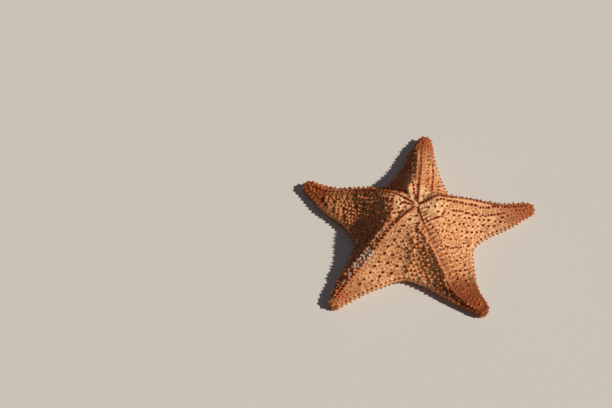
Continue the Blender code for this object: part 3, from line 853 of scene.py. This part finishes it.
def skinFinish():
    made, graph, shader = finish("starSkin", 0.6, 0.2)
    colours = {
        # pitShade, dense and collar are painted shade; tip is partly painted shade
        "pitShade": (0.19, 0.042, 0.007),
        "plain": (0.48, 0.165, 0.050),
        "pale": (0.94, 0.55, 0.265),
        "fleck": (0.95, 0.70, 0.42),
        "dense": (0.34, 0.095, 0.024),
        "collar": (0.27, 0.036, 0.005),
        "tip": (0.34, 0.068, 0.016),
        "worn": (0.72, 0.64, 0.56),
        "below": (0.66, 0.40, 0.19),
    }
    # How much of each colour its own mask lets through
    shares = {"fleck": 0.7, "dense": 0.85, "pitShade": 0.6, "tip": 0.85, "gap": 0.8, "seam": 0.85, "collar": 0.75}
    ridge = graph.attribute("ridge")
    broad = graph.noise(120, 2)
    middle = graph.noise(520, 3)
    grain = graph.cells(1500)
    pits = graph.cells(620)
    tone = graph.reach(broad, 0.35, 0.65) * 0.25 + graph.reach(middle, 0.40, 0.60) * 0.55 + ridge * 0.30
    tone = tone + graph.attribute("disc") * 0.30
    colour = graph.mix(graph.reach(tone, 0.12, 0.95), colours["plain"], colours["pale"])
    fleck = graph.reach(graph.noise(900, 2), 0.58, 0.70)
    # Painted shade: the dense mask darkens the skin of the faces turned from the key light
    dense = graph.attribute("dense") * (1 - ridge * 0.7)
    # Painted shade: the pits that the bump sinks are darkened in colour
    shadedHollow = (1 - graph.reach(pits, 0.10, 0.42)) * (1 - ridge)
    # Painted shade: a dark ring round each spine root, and dark lines along the sunk seams of the spine rows
    collar = graph.reach(graph.attribute("collar"), 0.45, 0.95)
    for mask, over in (
        (fleck * shares["fleck"], "fleck"),
        (dense * shares["dense"], "dense"),
        (shadedHollow * shares["pitShade"], "pitShade"),
        # Darker red tips, with painted shade over the near right arm's tip
        (graph.attribute("tipward") * shares["tip"], "tip"),
        (graph.attribute("below"), "below"),
        # painted shade in the hollows between ribs and granules and in the plate grooves
        (graph.attribute("gap") * shares["gap"], "pitShade"),
        (graph.attribute("seam") * shares["seam"], "collar"),
        (collar * shares["collar"], "collar"),
        (graph.attribute("worn") * graph.reach(middle, 0.50, 0.56), "worn"),
    ):
        colour = graph.mix(mask, colour, colours[over])
    height = graph.reach(grain, 0.6, 0.0) * 0.55 + middle * 0.5 - shadedHollow * 0.6
    feed(graph, shader, colour, height, 0.00045, 0.8)
    return made


def spineFinish():
    made, graph, shader = finish("starSpine", 0.5, 0.15)
    colours = {
        "root": (0.57, 0.17, 0.038),
        "shaft": (0.42, 0.062, 0.010),
        "top": (0.24, 0.019, 0.002),
        "red": (0.80, 0.27, 0.070),
        "worn": (0.74, 0.66, 0.58),
    }
    rise = graph.attribute("rise")
    tone = graph.attribute("tone")
    grain = graph.noise(1400, 2)
    colour = graph.mix(graph.reach(rise, 0.10, 0.45), colours["root"], colours["shaft"])
    for mask, over in (
        # The red is partly the spines' own colour and partly painted light on the close nodules of the faces
        # turned from the key
        (tone, "red"),
        (graph.reach(rise, 0.45, 0.80) * (1 - tone * 0.8), "top"),
        (graph.reach(rise, 0.5, 0.9) * graph.attribute("worn"), "worn"),
        (graph.reach(grain, 0.45, 0.75) * 0.25, "root"),
    ):
        colour = graph.mix(mask, colour, colours[over])
    feed(graph, shader, colour, grain, 0.0002, 0.6)
    return made


def knobFinish():
    made, graph, shader = finish("endKnob", 0.5, 0.4)
    colours = {"dark": (0.20, 0.030, 0.010), "plain": (0.42, 0.090, 0.026), "pale": (0.60, 0.20, 0.065)}
    grains = graph.cells(1050)
    broad = graph.noise(300, 2)
    colour = graph.mix(graph.reach(grains, 0.15, 0.55), colours["pale"], colours["plain"])
    colour = graph.mix(graph.reach(grains, 0.5, 0.8), colour, colours["dark"])
    colour = graph.mix(graph.reach(broad, 0.4, 0.7) * 0.5, colour, colours["dark"])
    height = graph.reach(grains, 0.7, 0.0)
    feed(graph, shader, colour, height, 0.0006, 0.9)
    return made


def footFinish():
    made, graph, shader = finish("tubeFoot", 0.35, 0.5)
    colours = {"stalk": (0.66, 0.36, 0.15), "pad": (0.76, 0.50, 0.26)}
    rise = graph.attribute("rise")
    rings = graph.noise(2600, 1)
    colour = graph.mix(graph.reach(rise, 0.72, 0.88), colours["stalk"], colours["pad"])
    colour = graph.mix(graph.reach(rings, 0.5, 0.7) * 0.3, colour, colours["pad"])
    feed(graph, shader, colour, rings, 0.0002, 0.7)
    return made


def sieveFinish():
    made, graph, shader = finish("sievePlate", 0.7, 0.25)
    colours = {"groove": (0.40, 0.17, 0.06), "ridge": (0.80, 0.54, 0.28)}
    grain = graph.noise(1800, 2)
    colour = graph.mix(graph.attribute("ridge"), colours["groove"], colours["ridge"])
    colour = graph.mix(graph.reach(grain, 0.45, 0.7) * 0.3, colour, colours["groove"])
    feed(graph, shader, colour, grain, 0.0002, 0.6)
    return made


def jawFinish():
    made, graph, shader = finish("jaws", 0.6, 0.3)
    colours = {"plain": (0.68, 0.40, 0.18), "pale": (0.80, 0.60, 0.34), "dark": (0.36, 0.16, 0.06)}
    grains = graph.cells(1300)
    broad = graph.noise(380, 2)
    colour = graph.mix(graph.reach(grains, 0.1, 0.6), colours["pale"], colours["plain"])
    colour = graph.mix(graph.reach(broad, 0.5, 0.75) * 0.5, colour, colours["dark"])
    height = graph.reach(grains, 0.7, 0.0)
    feed(graph, shader, colour, height, 0.0005, 0.8)
    return made


# The lathe's inputs with their first values, then their values for each piece in the same order
latheInputs = {"Sides": 8, "Rings": 5, "Radius": 0.001, "Height": 0.002, "Sink": 0.001, "Unevenness": 0.0}
latheSizes = {
    "spines": (8, 4, 0.00125, 0.0026, 0.0011, 0.00035),
    "tip_grains": (7, 4, 0.00062, 0.00085, 0.0004, 0.0002),
    "jaw_spines": (6, 4, 0.00042, 0.0017, 0.0004, 0.0001),
    "tube_feet": (8, 9, 0.00062, 0.0030, 0.0004, 0.00008),
    "groove_spines": (6, 4, 0.00040, 0.0017, 0.0004, 0.0001),
    "underside_spines": (6, 3, 0.00060, 0.00055, 0.0004, 0.00008),
}
# Profiles as shares of height and radius: both ends, then the points between
profiles = {
    "bluntSpine": ((0.0, 1.25), (1.0, 0.10), (0.42, 1.0), (0.70, 0.88), (0.86, 0.68), (0.95, 0.42)),
    "paleSpine": ((0.0, 1.0), (1.0, 0.12), (0.5, 0.95), (0.85, 0.72), (0.95, 0.45)),
    "tubeFoot": ((0.0, 1.15), (1.0, 0.95), (0.3, 0.85), (0.72, 0.62), (0.84, 0.72), (0.92, 1.15)),
}
latheGrain = 900.0  # scale of the noise that makes them uneven


def sizesOf(name):
    return dict(zip(latheInputs, latheSizes[name]))


# Geometry Nodes: one closed lathe, set on each point along its own direction and size
def latheTree(name, material):
    tree = bpy.data.node_groups.new(name, "GeometryNodeTree")
    face = tree.interface
    face.new_socket("Points", in_out="INPUT", socket_type="NodeSocketGeometry")
    for label, value in latheInputs.items():
        kind = "NodeSocketInt" if isinstance(value, int) else "NodeSocketFloat"
        face.new_socket(label, in_out="INPUT", socket_type=kind).default_value = value
    face.new_socket("Mesh", in_out="OUTPUT", socket_type="NodeSocketGeometry")
    graph = Graph(tree)
    source = tree.nodes.new("NodeGroupInput")
    given = {socket.name: Wire(tree, socket) for socket in source.outputs if socket.name}
    rod = graph.add("GeometryNodeMeshCylinder", None, {
        "Vertices": given["Sides"], "Side Segments": given["Rings"], "Radius": 1.0, "Depth": 1.0})
    where = graph.add("GeometryNodeInputPosition")
    split = tree.nodes.new("ShaderNodeSeparateXYZ")
    tree.links.new(where.socket, split.inputs[0])
    x, y, z = (Wire(tree, output) for output in split.outputs)
    rise = z + 0.5
    girth = graph.add("ShaderNodeFloatCurve", {"curve": profiles[name]}, {"Value": rise}) * given["Radius"]
    tall = rise * (given["Height"] + given["Sink"]) - given["Sink"]
    shaped = graph.add("ShaderNodeCombineXYZ", None, {"X": x * girth, "Y": y * girth, "Z": tall})
    marked = rod
    for label, kind, value in (("rise", "FLOAT", rise), ("spot", "FLOAT_VECTOR", where)):
        marked = graph.add("GeometryNodeStoreNamedAttribute", {"data_type": kind, "domain": "POINT"}, {
            "Geometry": marked, "Name": label, "Value": value})
    lathe = graph.add("GeometryNodeSetPosition", None, {"Geometry": marked, "Position": shaped})
    outward, scale, turn = (
        graph.add("GeometryNodeInputNamedAttribute", {"data_type": kind}, {"Name": label})
        for label, kind in (("out", "FLOAT_VECTOR"), ("scale", "FLOAT_VECTOR"), ("turn", "FLOAT"))
    )
    lie = graph.add("FunctionNodeAlignRotationToVector", {"axis": "Z"}, {"Vector": outward})
    spin = graph.add("FunctionNodeAxisAngleToRotation", None, {"Axis": (0, 0, 1), "Angle": turn})
    lie = graph.add("FunctionNodeRotateRotation", {"rotation_space": "LOCAL"}, {
        "Rotation": lie, "Rotate By": spin})
    many = graph.add("GeometryNodeInstanceOnPoints", None, {
        "Points": given["Points"], "Instance": lathe, "Rotation": lie, "Scale": scale})
    real = graph.add("GeometryNodeRealizeInstances", None, {"Geometry": many})
    grain = graph.add("ShaderNodeTexNoise", None, {"Scale": latheGrain}, out="Color")
    centred = graph.add("ShaderNodeVectorMath", {"operation": "SUBTRACT"}, {0: grain, 1: (0.5, 0.5, 0.5)})
    shift = graph.add("ShaderNodeVectorMath", {"operation": "SCALE"}, {
        0: centred, "Scale": given["Unevenness"]})
    real = graph.add("GeometryNodeSetPosition", None, {"Geometry": real, "Offset": shift})
    real = graph.add("GeometryNodeSetMaterial", None, {"Geometry": real, "Material": material})
    sink = tree.nodes.new("NodeGroupOutput")
    tree.links.new(real.socket, sink.inputs[0])
    return tree


def grow(name, tree, places):
    roots = places.roots + starCentre
    piece = meshFrom(name + "Points", roots, [])
    mesh = piece.data
    facts = places.facts
    scales = [(fact["size"], fact["size"], fact["tall"]) for fact in facts]
    setAttributes(mesh, "FLOAT_VECTOR", out=[fact["out"] for fact in facts], scale=scales, rootPlace=roots)
    setAttributes(mesh, **{key: [fact[key] for fact in facts] for key in ("turn", "tone", "worn")})
    inputs = sizesOf(name)
    modifier = piece.modifiers.new("grow", "NODES")
    modifier.node_group = tree
    for item in tree.interface.items_tree:
        if item.in_out == "INPUT" and item.name in inputs:
            modifier[item.identifier] = inputs[item.name]
    bpy.context.view_layer.update()
    made = bpy.data.meshes.new_from_object(piece.evaluated_get(bpy.context.evaluated_depsgraph_get()))
    bpy.data.objects.remove(piece)
    made.name = name
    made.shade_smooth()
    grownPiece = bpy.data.objects.new(name, made)
    bpy.context.scene.collection.objects.link(grownPiece)
    addBakeMap(made)
    print(name + ":", len(made.polygons), "faces on", len(facts), "roots")
    return grownPiece


# Map for baking: each small form is a patch about 0.003 across at its root's place on the flattened skin
bakeMap = {"span": 0.26, "patch": 0.0015}


def readVectors(mesh, name):
    values = np.empty(3 * len(mesh.vertices), dtype=np.float32)
    mesh.attributes[name].data.foreach_get("vector", values)
    return values.reshape(-1, 3)


def addBakeMap(mesh):
    roots = readVectors(mesh, "rootPlace")[:, :2]
    spots = readVectors(mesh, "spot")[:, :2]
    places = 0.5 + roots / bakeMap["span"] + bakeMap["patch"] * spots
    corners = np.empty(len(mesh.loops), dtype=np.int32)
    mesh.loops.foreach_get("vertex_index", corners)
    layer = mesh.uv_layers.new(name="OFBake")
    layer.data.foreach_set("uv", places[corners].astype(np.float32).ravel())


# How the spines lean, and how red the kinds are: 0 is dark and 1 the red of the close nodules, which is
# painted light that makes the nodules on faces turned from the key look sunlit
dress = {
    "lean": 0.12,
    "tones": {"edge": 0.4, "small": 0.6},
    "paintedLightTone": 0.9,
    "tipTone": 0.3,
    "tipSpan": (0.72, 0.25),
    "wornShare": 0.6,
}


def leaned(out, most):
    return unit(np.array(out) + most * np.array([draw.uniform(-1, 1) for axis in range(3)]))


def dressSpines(tree):
    for fact, root in zip(grown.facts, grown.roots):
        plan = complex(root[0], root[1])
        arm = int(np.argmin(np.abs(wrapped(np.degrees(np.angle(plan)) - arms["angle"]))))
        # Painted light: close nodules on faces turned from the key get the bright red tone
        tone = dress["tones"].get(fact["kind"], dress["paintedLightTone"] * fact.get("dense", False))
        tone += dress["tipTone"] * float(rising(abs(plan) / arms["reach"][arm], dress["tipSpan"]))
        fact["out"] = leaned(fact["out"], dress["lean"])
        fact["tall"] = fact["size"] * draw.uniform(*limits["tall"])
        fact["turn"] = draw.uniform(0, 2 * math.pi)
        fact["tone"] = min(1.0, tone)
        fact["worn"] = wornAt(plan) * (draw.random() < dress["wornShare"])
    return grow("spines", tree, grown)


def settle(piece, slot, *nodes):
    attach(piece, "root")
    if nodes:
        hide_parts(*nodes)


def plainFacts(places, tone, lean):
    for fact in places.facts:
        fact["out"] = leaned(fact["out"], lean)
        fact.setdefault("tall", fact["size"])
        fact.update(turn=draw.uniform(0, 2 * math.pi), tone=tone, worn=0.0)
    return places


# A knob of granules ends each arm
knob = {
    "long": 0.0060,
    "wide": 0.0056,
    "high": 0.0071,
    "past": 0.0019,
    "bottom": 0.0004,
    "squareness": 0.06,
    "capPower": 0.8,
    "girthPower": 0.7,
    "roughScale": 700,
    "roughHeight": 0.0001,
    "rings": 14,
    "sides": 36,
    "grainStep": 0.00125,
    "grainLowest": 0.0016,
    "grainSizes": (0.75, 1.15),
}


def makeKnob(i, grains):
    sides = knob["sides"]
    centre = arms["reach"][i] + knob["past"] - knob["long"]
    points = []
    for ring in range(knob["rings"] + 1):
        rise = math.pi * (0.5 - ring / knob["rings"])
        cap = math.copysign(abs(math.sin(rise)) ** knob["capPower"], rise)
        level = knob["bottom"] + (knob["high"] - knob["bottom"]) * (0.5 + 0.5 * cap)
        for k in range(sides):
            turn = 2 * math.pi * k / sides
            squared = abs(math.sin(2 * turn)) * knob["squareness"]
            girth = max(0.0, math.cos(rise)) ** knob["girthPower"] * (1 + squared)
            along = centre + knob["long"] * girth * math.cos(turn)
            plan = besideAxis(i, along, knob["wide"] * girth * math.sin(turn))
            rough = noise.noise(Vector((plan.real, plan.imag, level)) * knob["roughScale"])
            points.append((plan.real, plan.imag, level + knob["roughHeight"] * rough))
    points = points[sides:-sides] + [points[0], points[-1]]
    rings = [list(range(ring * sides, (ring + 1) * sides)) for ring in range(knob["rings"] - 1)]
    faces = closedFaces(rings, len(points) - 2, len(points) - 1)
    piece = meshFrom("end_knob_" + arms["name"][i], np.array(points) + starCentre, faces)
    generator = np.random.default_rng(spines["seed"] + i)
    for face in generator.permutation(len(piece.data.polygons)):
        polygon = piece.data.polygons[int(face)]
        root = np.array(polygon.center) - starCentre
        if root[2] > knob["grainLowest"] and grains.room(root, knob["grainStep"]):
            grains.add(root, np.array(polygon.normal), size=draw.uniform(*knob["grainSizes"]))
    return piece


# Sieve plate: a low dome with winding grooves
sieveForm = {
    "dome": 0.0013,
    "domePower": 2.4,
    "grooves": 13,
    "winding": 2.2,
    "depth": 0.00022,
    "rimShare": 0.97,
    "middleTone": 0.6,
    "rimTone": 0.2,
    "rings": 18,
    "sides": 72,
}


def makeSieve():
    low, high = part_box("sieve_plate")
    middle = (low + high) / 2
    radius = (high.x - low.x) / 2
    rim = high.z - sieveForm["dome"]
    sides = sieveForm["sides"]
    points = [(middle.x, middle.y, high.z)]
    ridges = [sieveForm["middleTone"]]
    for ring in range(1, sieveForm["rings"] + 1):
        share = ring / sieveForm["rings"]
        dome = sieveForm["dome"] * (1 - share ** sieveForm["domePower"])
        fade = min(1, 3 * share) * (1 - share ** 6)
        for k in range(sides):
            turn = 2 * math.pi * k / sides
            winding = sieveForm["winding"] * math.sin(5 * share + 3 * turn)
            ridge = 0.5 + 0.5 * math.cos(sieveForm["grooves"] * turn + winding)
            height = rim + dome - sieveForm["depth"] * (1 - ridge) * fade
            x = middle.x + radius * share * math.cos(turn)
            points.append((x, middle.y + radius * share * math.sin(turn), height))
            ridges.append(ridge if share < sieveForm["rimShare"] else sieveForm["rimTone"])
    points.extend([(x, y, low.z) for x, y, z in points[-sides:]])
    points.append((middle.x, middle.y, low.z))
    ridges.extend([0.0] * (sides + 1))
    rings = [list(range(1 + ring * sides, 1 + (ring + 1) * sides)) for ring in range(sieveForm["rings"] + 1)]
    piece = meshFrom("sieve", np.array(points), closedFaces(rings, 0, len(points) - 1))
    setAttributes(piece.data, ridge=ridges)
    return piece


# Jaws: five pairs of plates that point at the middle of the mouth, with spines along their edges
jaw = {
    "outer": 0.0104,
    "inner": 0.0026,
    "wide": 0.0031,
    "narrow": 0.0006,
    "taper": 0.75,
    "low": 0.0010,
    "high": 0.0047,
    "tipRise": 0.0004,
    "tipThinner": 0.25,
    "split": 0.0004,
    "endPower": 0.25,
    "bulge": 0.00012,
    "lowest": 0.0004,
    "stations": 11,
    "sides": 16,
    "spineLevel": 0.0020,
    "spineSizes": (0.8, 1.1),
    "spineAim": (-0.5, 0.7, -0.12),  # outwards, aside and up
    "tipOut": 0.0003,
    "tipAside": 0.0005,
    "tipUp": -0.1,
    "tipLevels": (0.0018, 0.0030),
    "tipSize": 1.1,
}


def makeJaws(jawSpines):
    points = []
    faces = []
    outward, aside, up = jaw["spineAim"]
    for place in range(armCount):
        angle = arms["angle"][0] + 360 / armCount * (place + 0.5)
        for hand in (-1, 1):
            rings = []
            for station in range(jaw["stations"]):
                share = station / (jaw["stations"] - 1)
                way = jaw["outer"] + share * (jaw["inner"] - jaw["outer"])
                half = 0.5 * (jaw["wide"] * (1 - share) ** jaw["taper"] + jaw["narrow"])
                end = math.sin(math.pi * min(max(share, 0.04), 0.96)) ** jaw["endPower"]
                middle = (jaw["low"] + jaw["high"]) / 2 + jaw["tipRise"] * share
                tall = (jaw["high"] - jaw["low"]) / 2 * (1 - jaw["tipThinner"] * share)
                bulge = jaw["bulge"] * math.sin(9 * share + hand)
                ring = []
                for k in range(jaw["sides"]):
                    turn = 2 * math.pi * k / jaw["sides"]
                    side = hand * (half + jaw["split"] / 2) + half * end * math.cos(turn)
                    level = middle + tall * end * math.sin(turn)
                    plan = outFrom(way, angle) + 1j * outFrom(side, angle)
                    ring.append(len(points))
                    points.append((plan.real, plan.imag, max(jaw["lowest"], level - bulge)))
                rings.append(ring)
                if 0 < station < jaw["stations"] - 1:
                    edge = outFrom(way, angle) + 1j * outFrom(hand * 2 * half, angle)
                    aim = inSpace(outFrom(outward, angle) + 1j * outFrom(aside * hand, angle), up)
                    size = draw.uniform(*jaw["spineSizes"])
                    jawSpines.add(inSpace(edge, jaw["spineLevel"]), unit(aim), size=size)
            for inner, outer in zip(rings, rings[1:]):
                faces.extend(ringFaces(inner, outer))
            faces.append(tuple(rings[0]))
            faces.append(tuple(reversed(rings[-1])))
            tip = outFrom(jaw["inner"] + jaw["tipOut"], angle) + 1j * outFrom(hand * jaw["tipAside"], angle)
            aim = inSpace(outFrom(-1.0, angle), jaw["tipUp"])
            for level in jaw["tipLevels"]:
                jawSpines.add(inSpace(tip, level), aim, size=jaw["tipSize"])
    return meshFrom("jaws", np.array(points) + starCentre, faces)


# Underside: two rows of feet in each groove, rows of spines along its edges, short spines between
below = {
    "start": 0.0120,
    "endLeft": 0.0085,
    "footStep": 0.0021,
    "footSpread": 0.25,
    "footGirth": 1.25,
    "footClear": 0.0006,
    "footRoot": 0.0001,
    "footSway": (-0.2, 0.2),
    "footLengths": (0.82, 1.0),
    "footSizes": (0.9, 1.1),
    "guardSizes": (0.85, 1.1),
    "guardLengths": (0.9, 1.1),
    "guardPast": 0.001,
    "guardClear": 0.0013,
    "plateStep": 0.0027,
    "plateTries": 9000,
    "plateLevel": 0.00005,
    "plateSpan": (0.15, 0.97),
    "plateSizes": (0.8, 1.15),
    "plateLengths": (0.8, 1.0),
}
# The two rows beside a groove: the first leans in over the feet, the second points down
guardRows = (
    {"step": 0.00125, "off": 0.0007, "inward": 0.85, "sink": -0.22, "root": 0.0005, "size": 1.0, "tall": 1.0},
    {"step": 0.0023, "off": 0.0021, "inward": -0.25, "sink": -0.9, "root": 0.0, "size": 0.8, "tall": 0.42},
)


def growFeet(feet, i, end):
    way = below["start"]
    while way < end:
        width, depth = grooveSizes(i, way)
        for hand in (-1, 1):
            along = way + draw.uniform(*below["footSway"]) * below["footStep"]
            plan = besideAxis(i, along, hand * below["footSpread"] * width)
            tall = (depth + under["gap"] - below["footClear"]) * draw.uniform(*below["footLengths"])
            size = draw.uniform(*below["footSizes"]) * width / under["grooveWidths"][0] * below["footGirth"]
            root = inSpace(plan, under["gap"] + depth - below["footRoot"])
            feet.add(root, np.array([0, 0, -1.0]), size=size, tall=tall / sizesOf("tube_feet")["Height"])
        way += below["footStep"]


def growBelow(feet, guards, plates):
    for i in range(armCount):
        end = arms["reach"][i] - below["endLeft"]
        growFeet(feet, i, end)
        for row in guardRows:
            way = below["start"] - below["guardPast"]
            while way < end + below["guardPast"]:
                width, depth = grooveSizes(i, way)
                for hand in (-1, 1):
                    plan = besideAxis(i, way, hand * (0.5 * width + row["off"]))
                    aim = inSpace(-hand * row["inward"] * 1j * outFrom(1.0, arms["angle"][i]), row["sink"])
                    size = row["size"] * draw.uniform(*below["guardSizes"])
                    tall = row["tall"] * draw.uniform(*below["guardLengths"])
                    guards.add(inSpace(plan, under["gap"] + row["root"]), aim, size=size, tall=tall)
                way += row["step"]
    generator = np.random.default_rng(spines["seed"] + 40)
    i = generator.integers(0, armCount, below["plateTries"])
    a = generator.uniform(-1, 1, below["plateTries"])
    v = generator.uniform(*below["plateSpan"], below["plateTries"])
    for root in underPoints(i, a, v):
        flat = np.array([root[0], root[1], under["gap"]])
        if root[2] >= under["gap"] + below["plateLevel"] or not guards.room(flat, below["guardClear"]):
            continue
        if plates.room(root, below["plateStep"]):
            size = draw.uniform(*below["plateSizes"])
            plates.add(root, np.array([0, 0, -1.0]), size=size, tall=draw.uniform(*below["plateLengths"]))


skinPiece = makeSkin()
skinPiece.data.materials.append(skinFinish())
settle(skinPiece, "skin", "disc", *["arm_" + name for name in arms["name"]])
spineMaterial = spineFinish()
bluntTree = latheTree("bluntSpine", spineMaterial)
settle(dressSpines(bluntTree), "skin")

tipGrains = Places()
knobMaterial = knobFinish()
for i, name in enumerate(arms["name"]):
    knobPiece = makeKnob(i, tipGrains)
    knobPiece.data.materials.append(knobMaterial)
    settle(knobPiece, "end_plate", "end_plate_" + name)
settle(grow("tip_grains", bluntTree, plainFacts(tipGrains, tone=0.7, lean=0.15)), "end_plate")

sievePiece = makeSieve()
sievePiece.data.materials.append(sieveFinish())
settle(sievePiece, "sieve_plate", "sieve_plate")

jawSpines = Places()
jawPiece = makeJaws(jawSpines)
jawMaterial = jawFinish()
jawPiece.data.materials.append(jawMaterial)
settle(jawPiece, "mouth", "mouth")
paleTree = latheTree("paleSpine", jawMaterial)
settle(grow("jaw_spines", paleTree, plainFacts(jawSpines, tone=0, lean=0.08)), "mouth")

feet = Places()
guards = Places()
plates = Places()
growBelow(feet, guards, plates)
footTree = latheTree("tubeFoot", footFinish())
settle(grow("tube_feet", footTree, plainFacts(feet, tone=0, lean=0.06)), "skin")
settle(grow("groove_spines", paleTree, plainFacts(guards, tone=0, lean=0.08)), "skin")
settle(grow("underside_spines", paleTree, plainFacts(plates, tone=0, lean=0.08)), "skin")

# Floor, light and camera
studio = {
    "floor": (0.67, 0.640, 0.59),
    "sunHeight": 40.0,
    "sunTurn": -18.0,
    "sunPower": 3.9,
    "sunSoftness": 2.0,
    "sunColour": (1.0, 0.95, 0.87),
    "fill": 0.11,
    "fillColour": (0.78, 0.78, 0.92),
}


def makeStudio():
    floor = meshFrom("floor", [(-4, -4, 0), (4, -4, 0), (4, 4, 0), (-4, 4, 0)], [(0, 1, 2, 3)])
    made, graph, shader = finish("paleFloor", 0.9, 0.2)
    shader.inputs["Base Color"].default_value = (*studio["floor"], 1)
    floor.data.materials.append(made)
    sun = bpy.data.lights.new("key", "SUN")
    sun.energy = studio["sunPower"]
    sun.angle = math.radians(studio["sunSoftness"])
    sun.color = studio["sunColour"]
    key = bpy.data.objects.new("key", sun)
    key.rotation_euler = (0, math.radians(90 - studio["sunHeight"]), math.radians(studio["sunTurn"]))
    bpy.context.scene.collection.objects.link(key)
    world = bpy.data.worlds.new("studio")
    world.use_nodes = True
    background = world.node_tree.nodes["Background"]
    background.inputs["Color"].default_value = (*studio["fillColour"], 1)
    background.inputs["Strength"].default_value = studio["fill"]
    bpy.context.scene.world = world
    bpy.context.scene.view_settings.view_transform = "Standard"


view = {"lens": 70.6, "sensor": 36.0, "height": 50.6, "distance": 1.196, "aim": (-0.1058, 0.0354)}


def makeCamera():
    data = bpy.data.cameras.new("camera")
    data.lens = view["lens"]
    data.sensor_width = view["sensor"]
    camera = bpy.data.objects.new("camera", data)
    bpy.context.scene.collection.objects.link(camera)
    tilt = math.radians(view["height"])
    aim = Vector(starCentre) + Vector((*view["aim"], 0))
    camera.location = aim + view["distance"] * Vector((0, -math.cos(tilt), math.sin(tilt)))
    camera.rotation_euler = (math.pi / 2 - tilt, 0, 0)
    bpy.context.scene.camera = camera


makeStudio()
makeCamera()
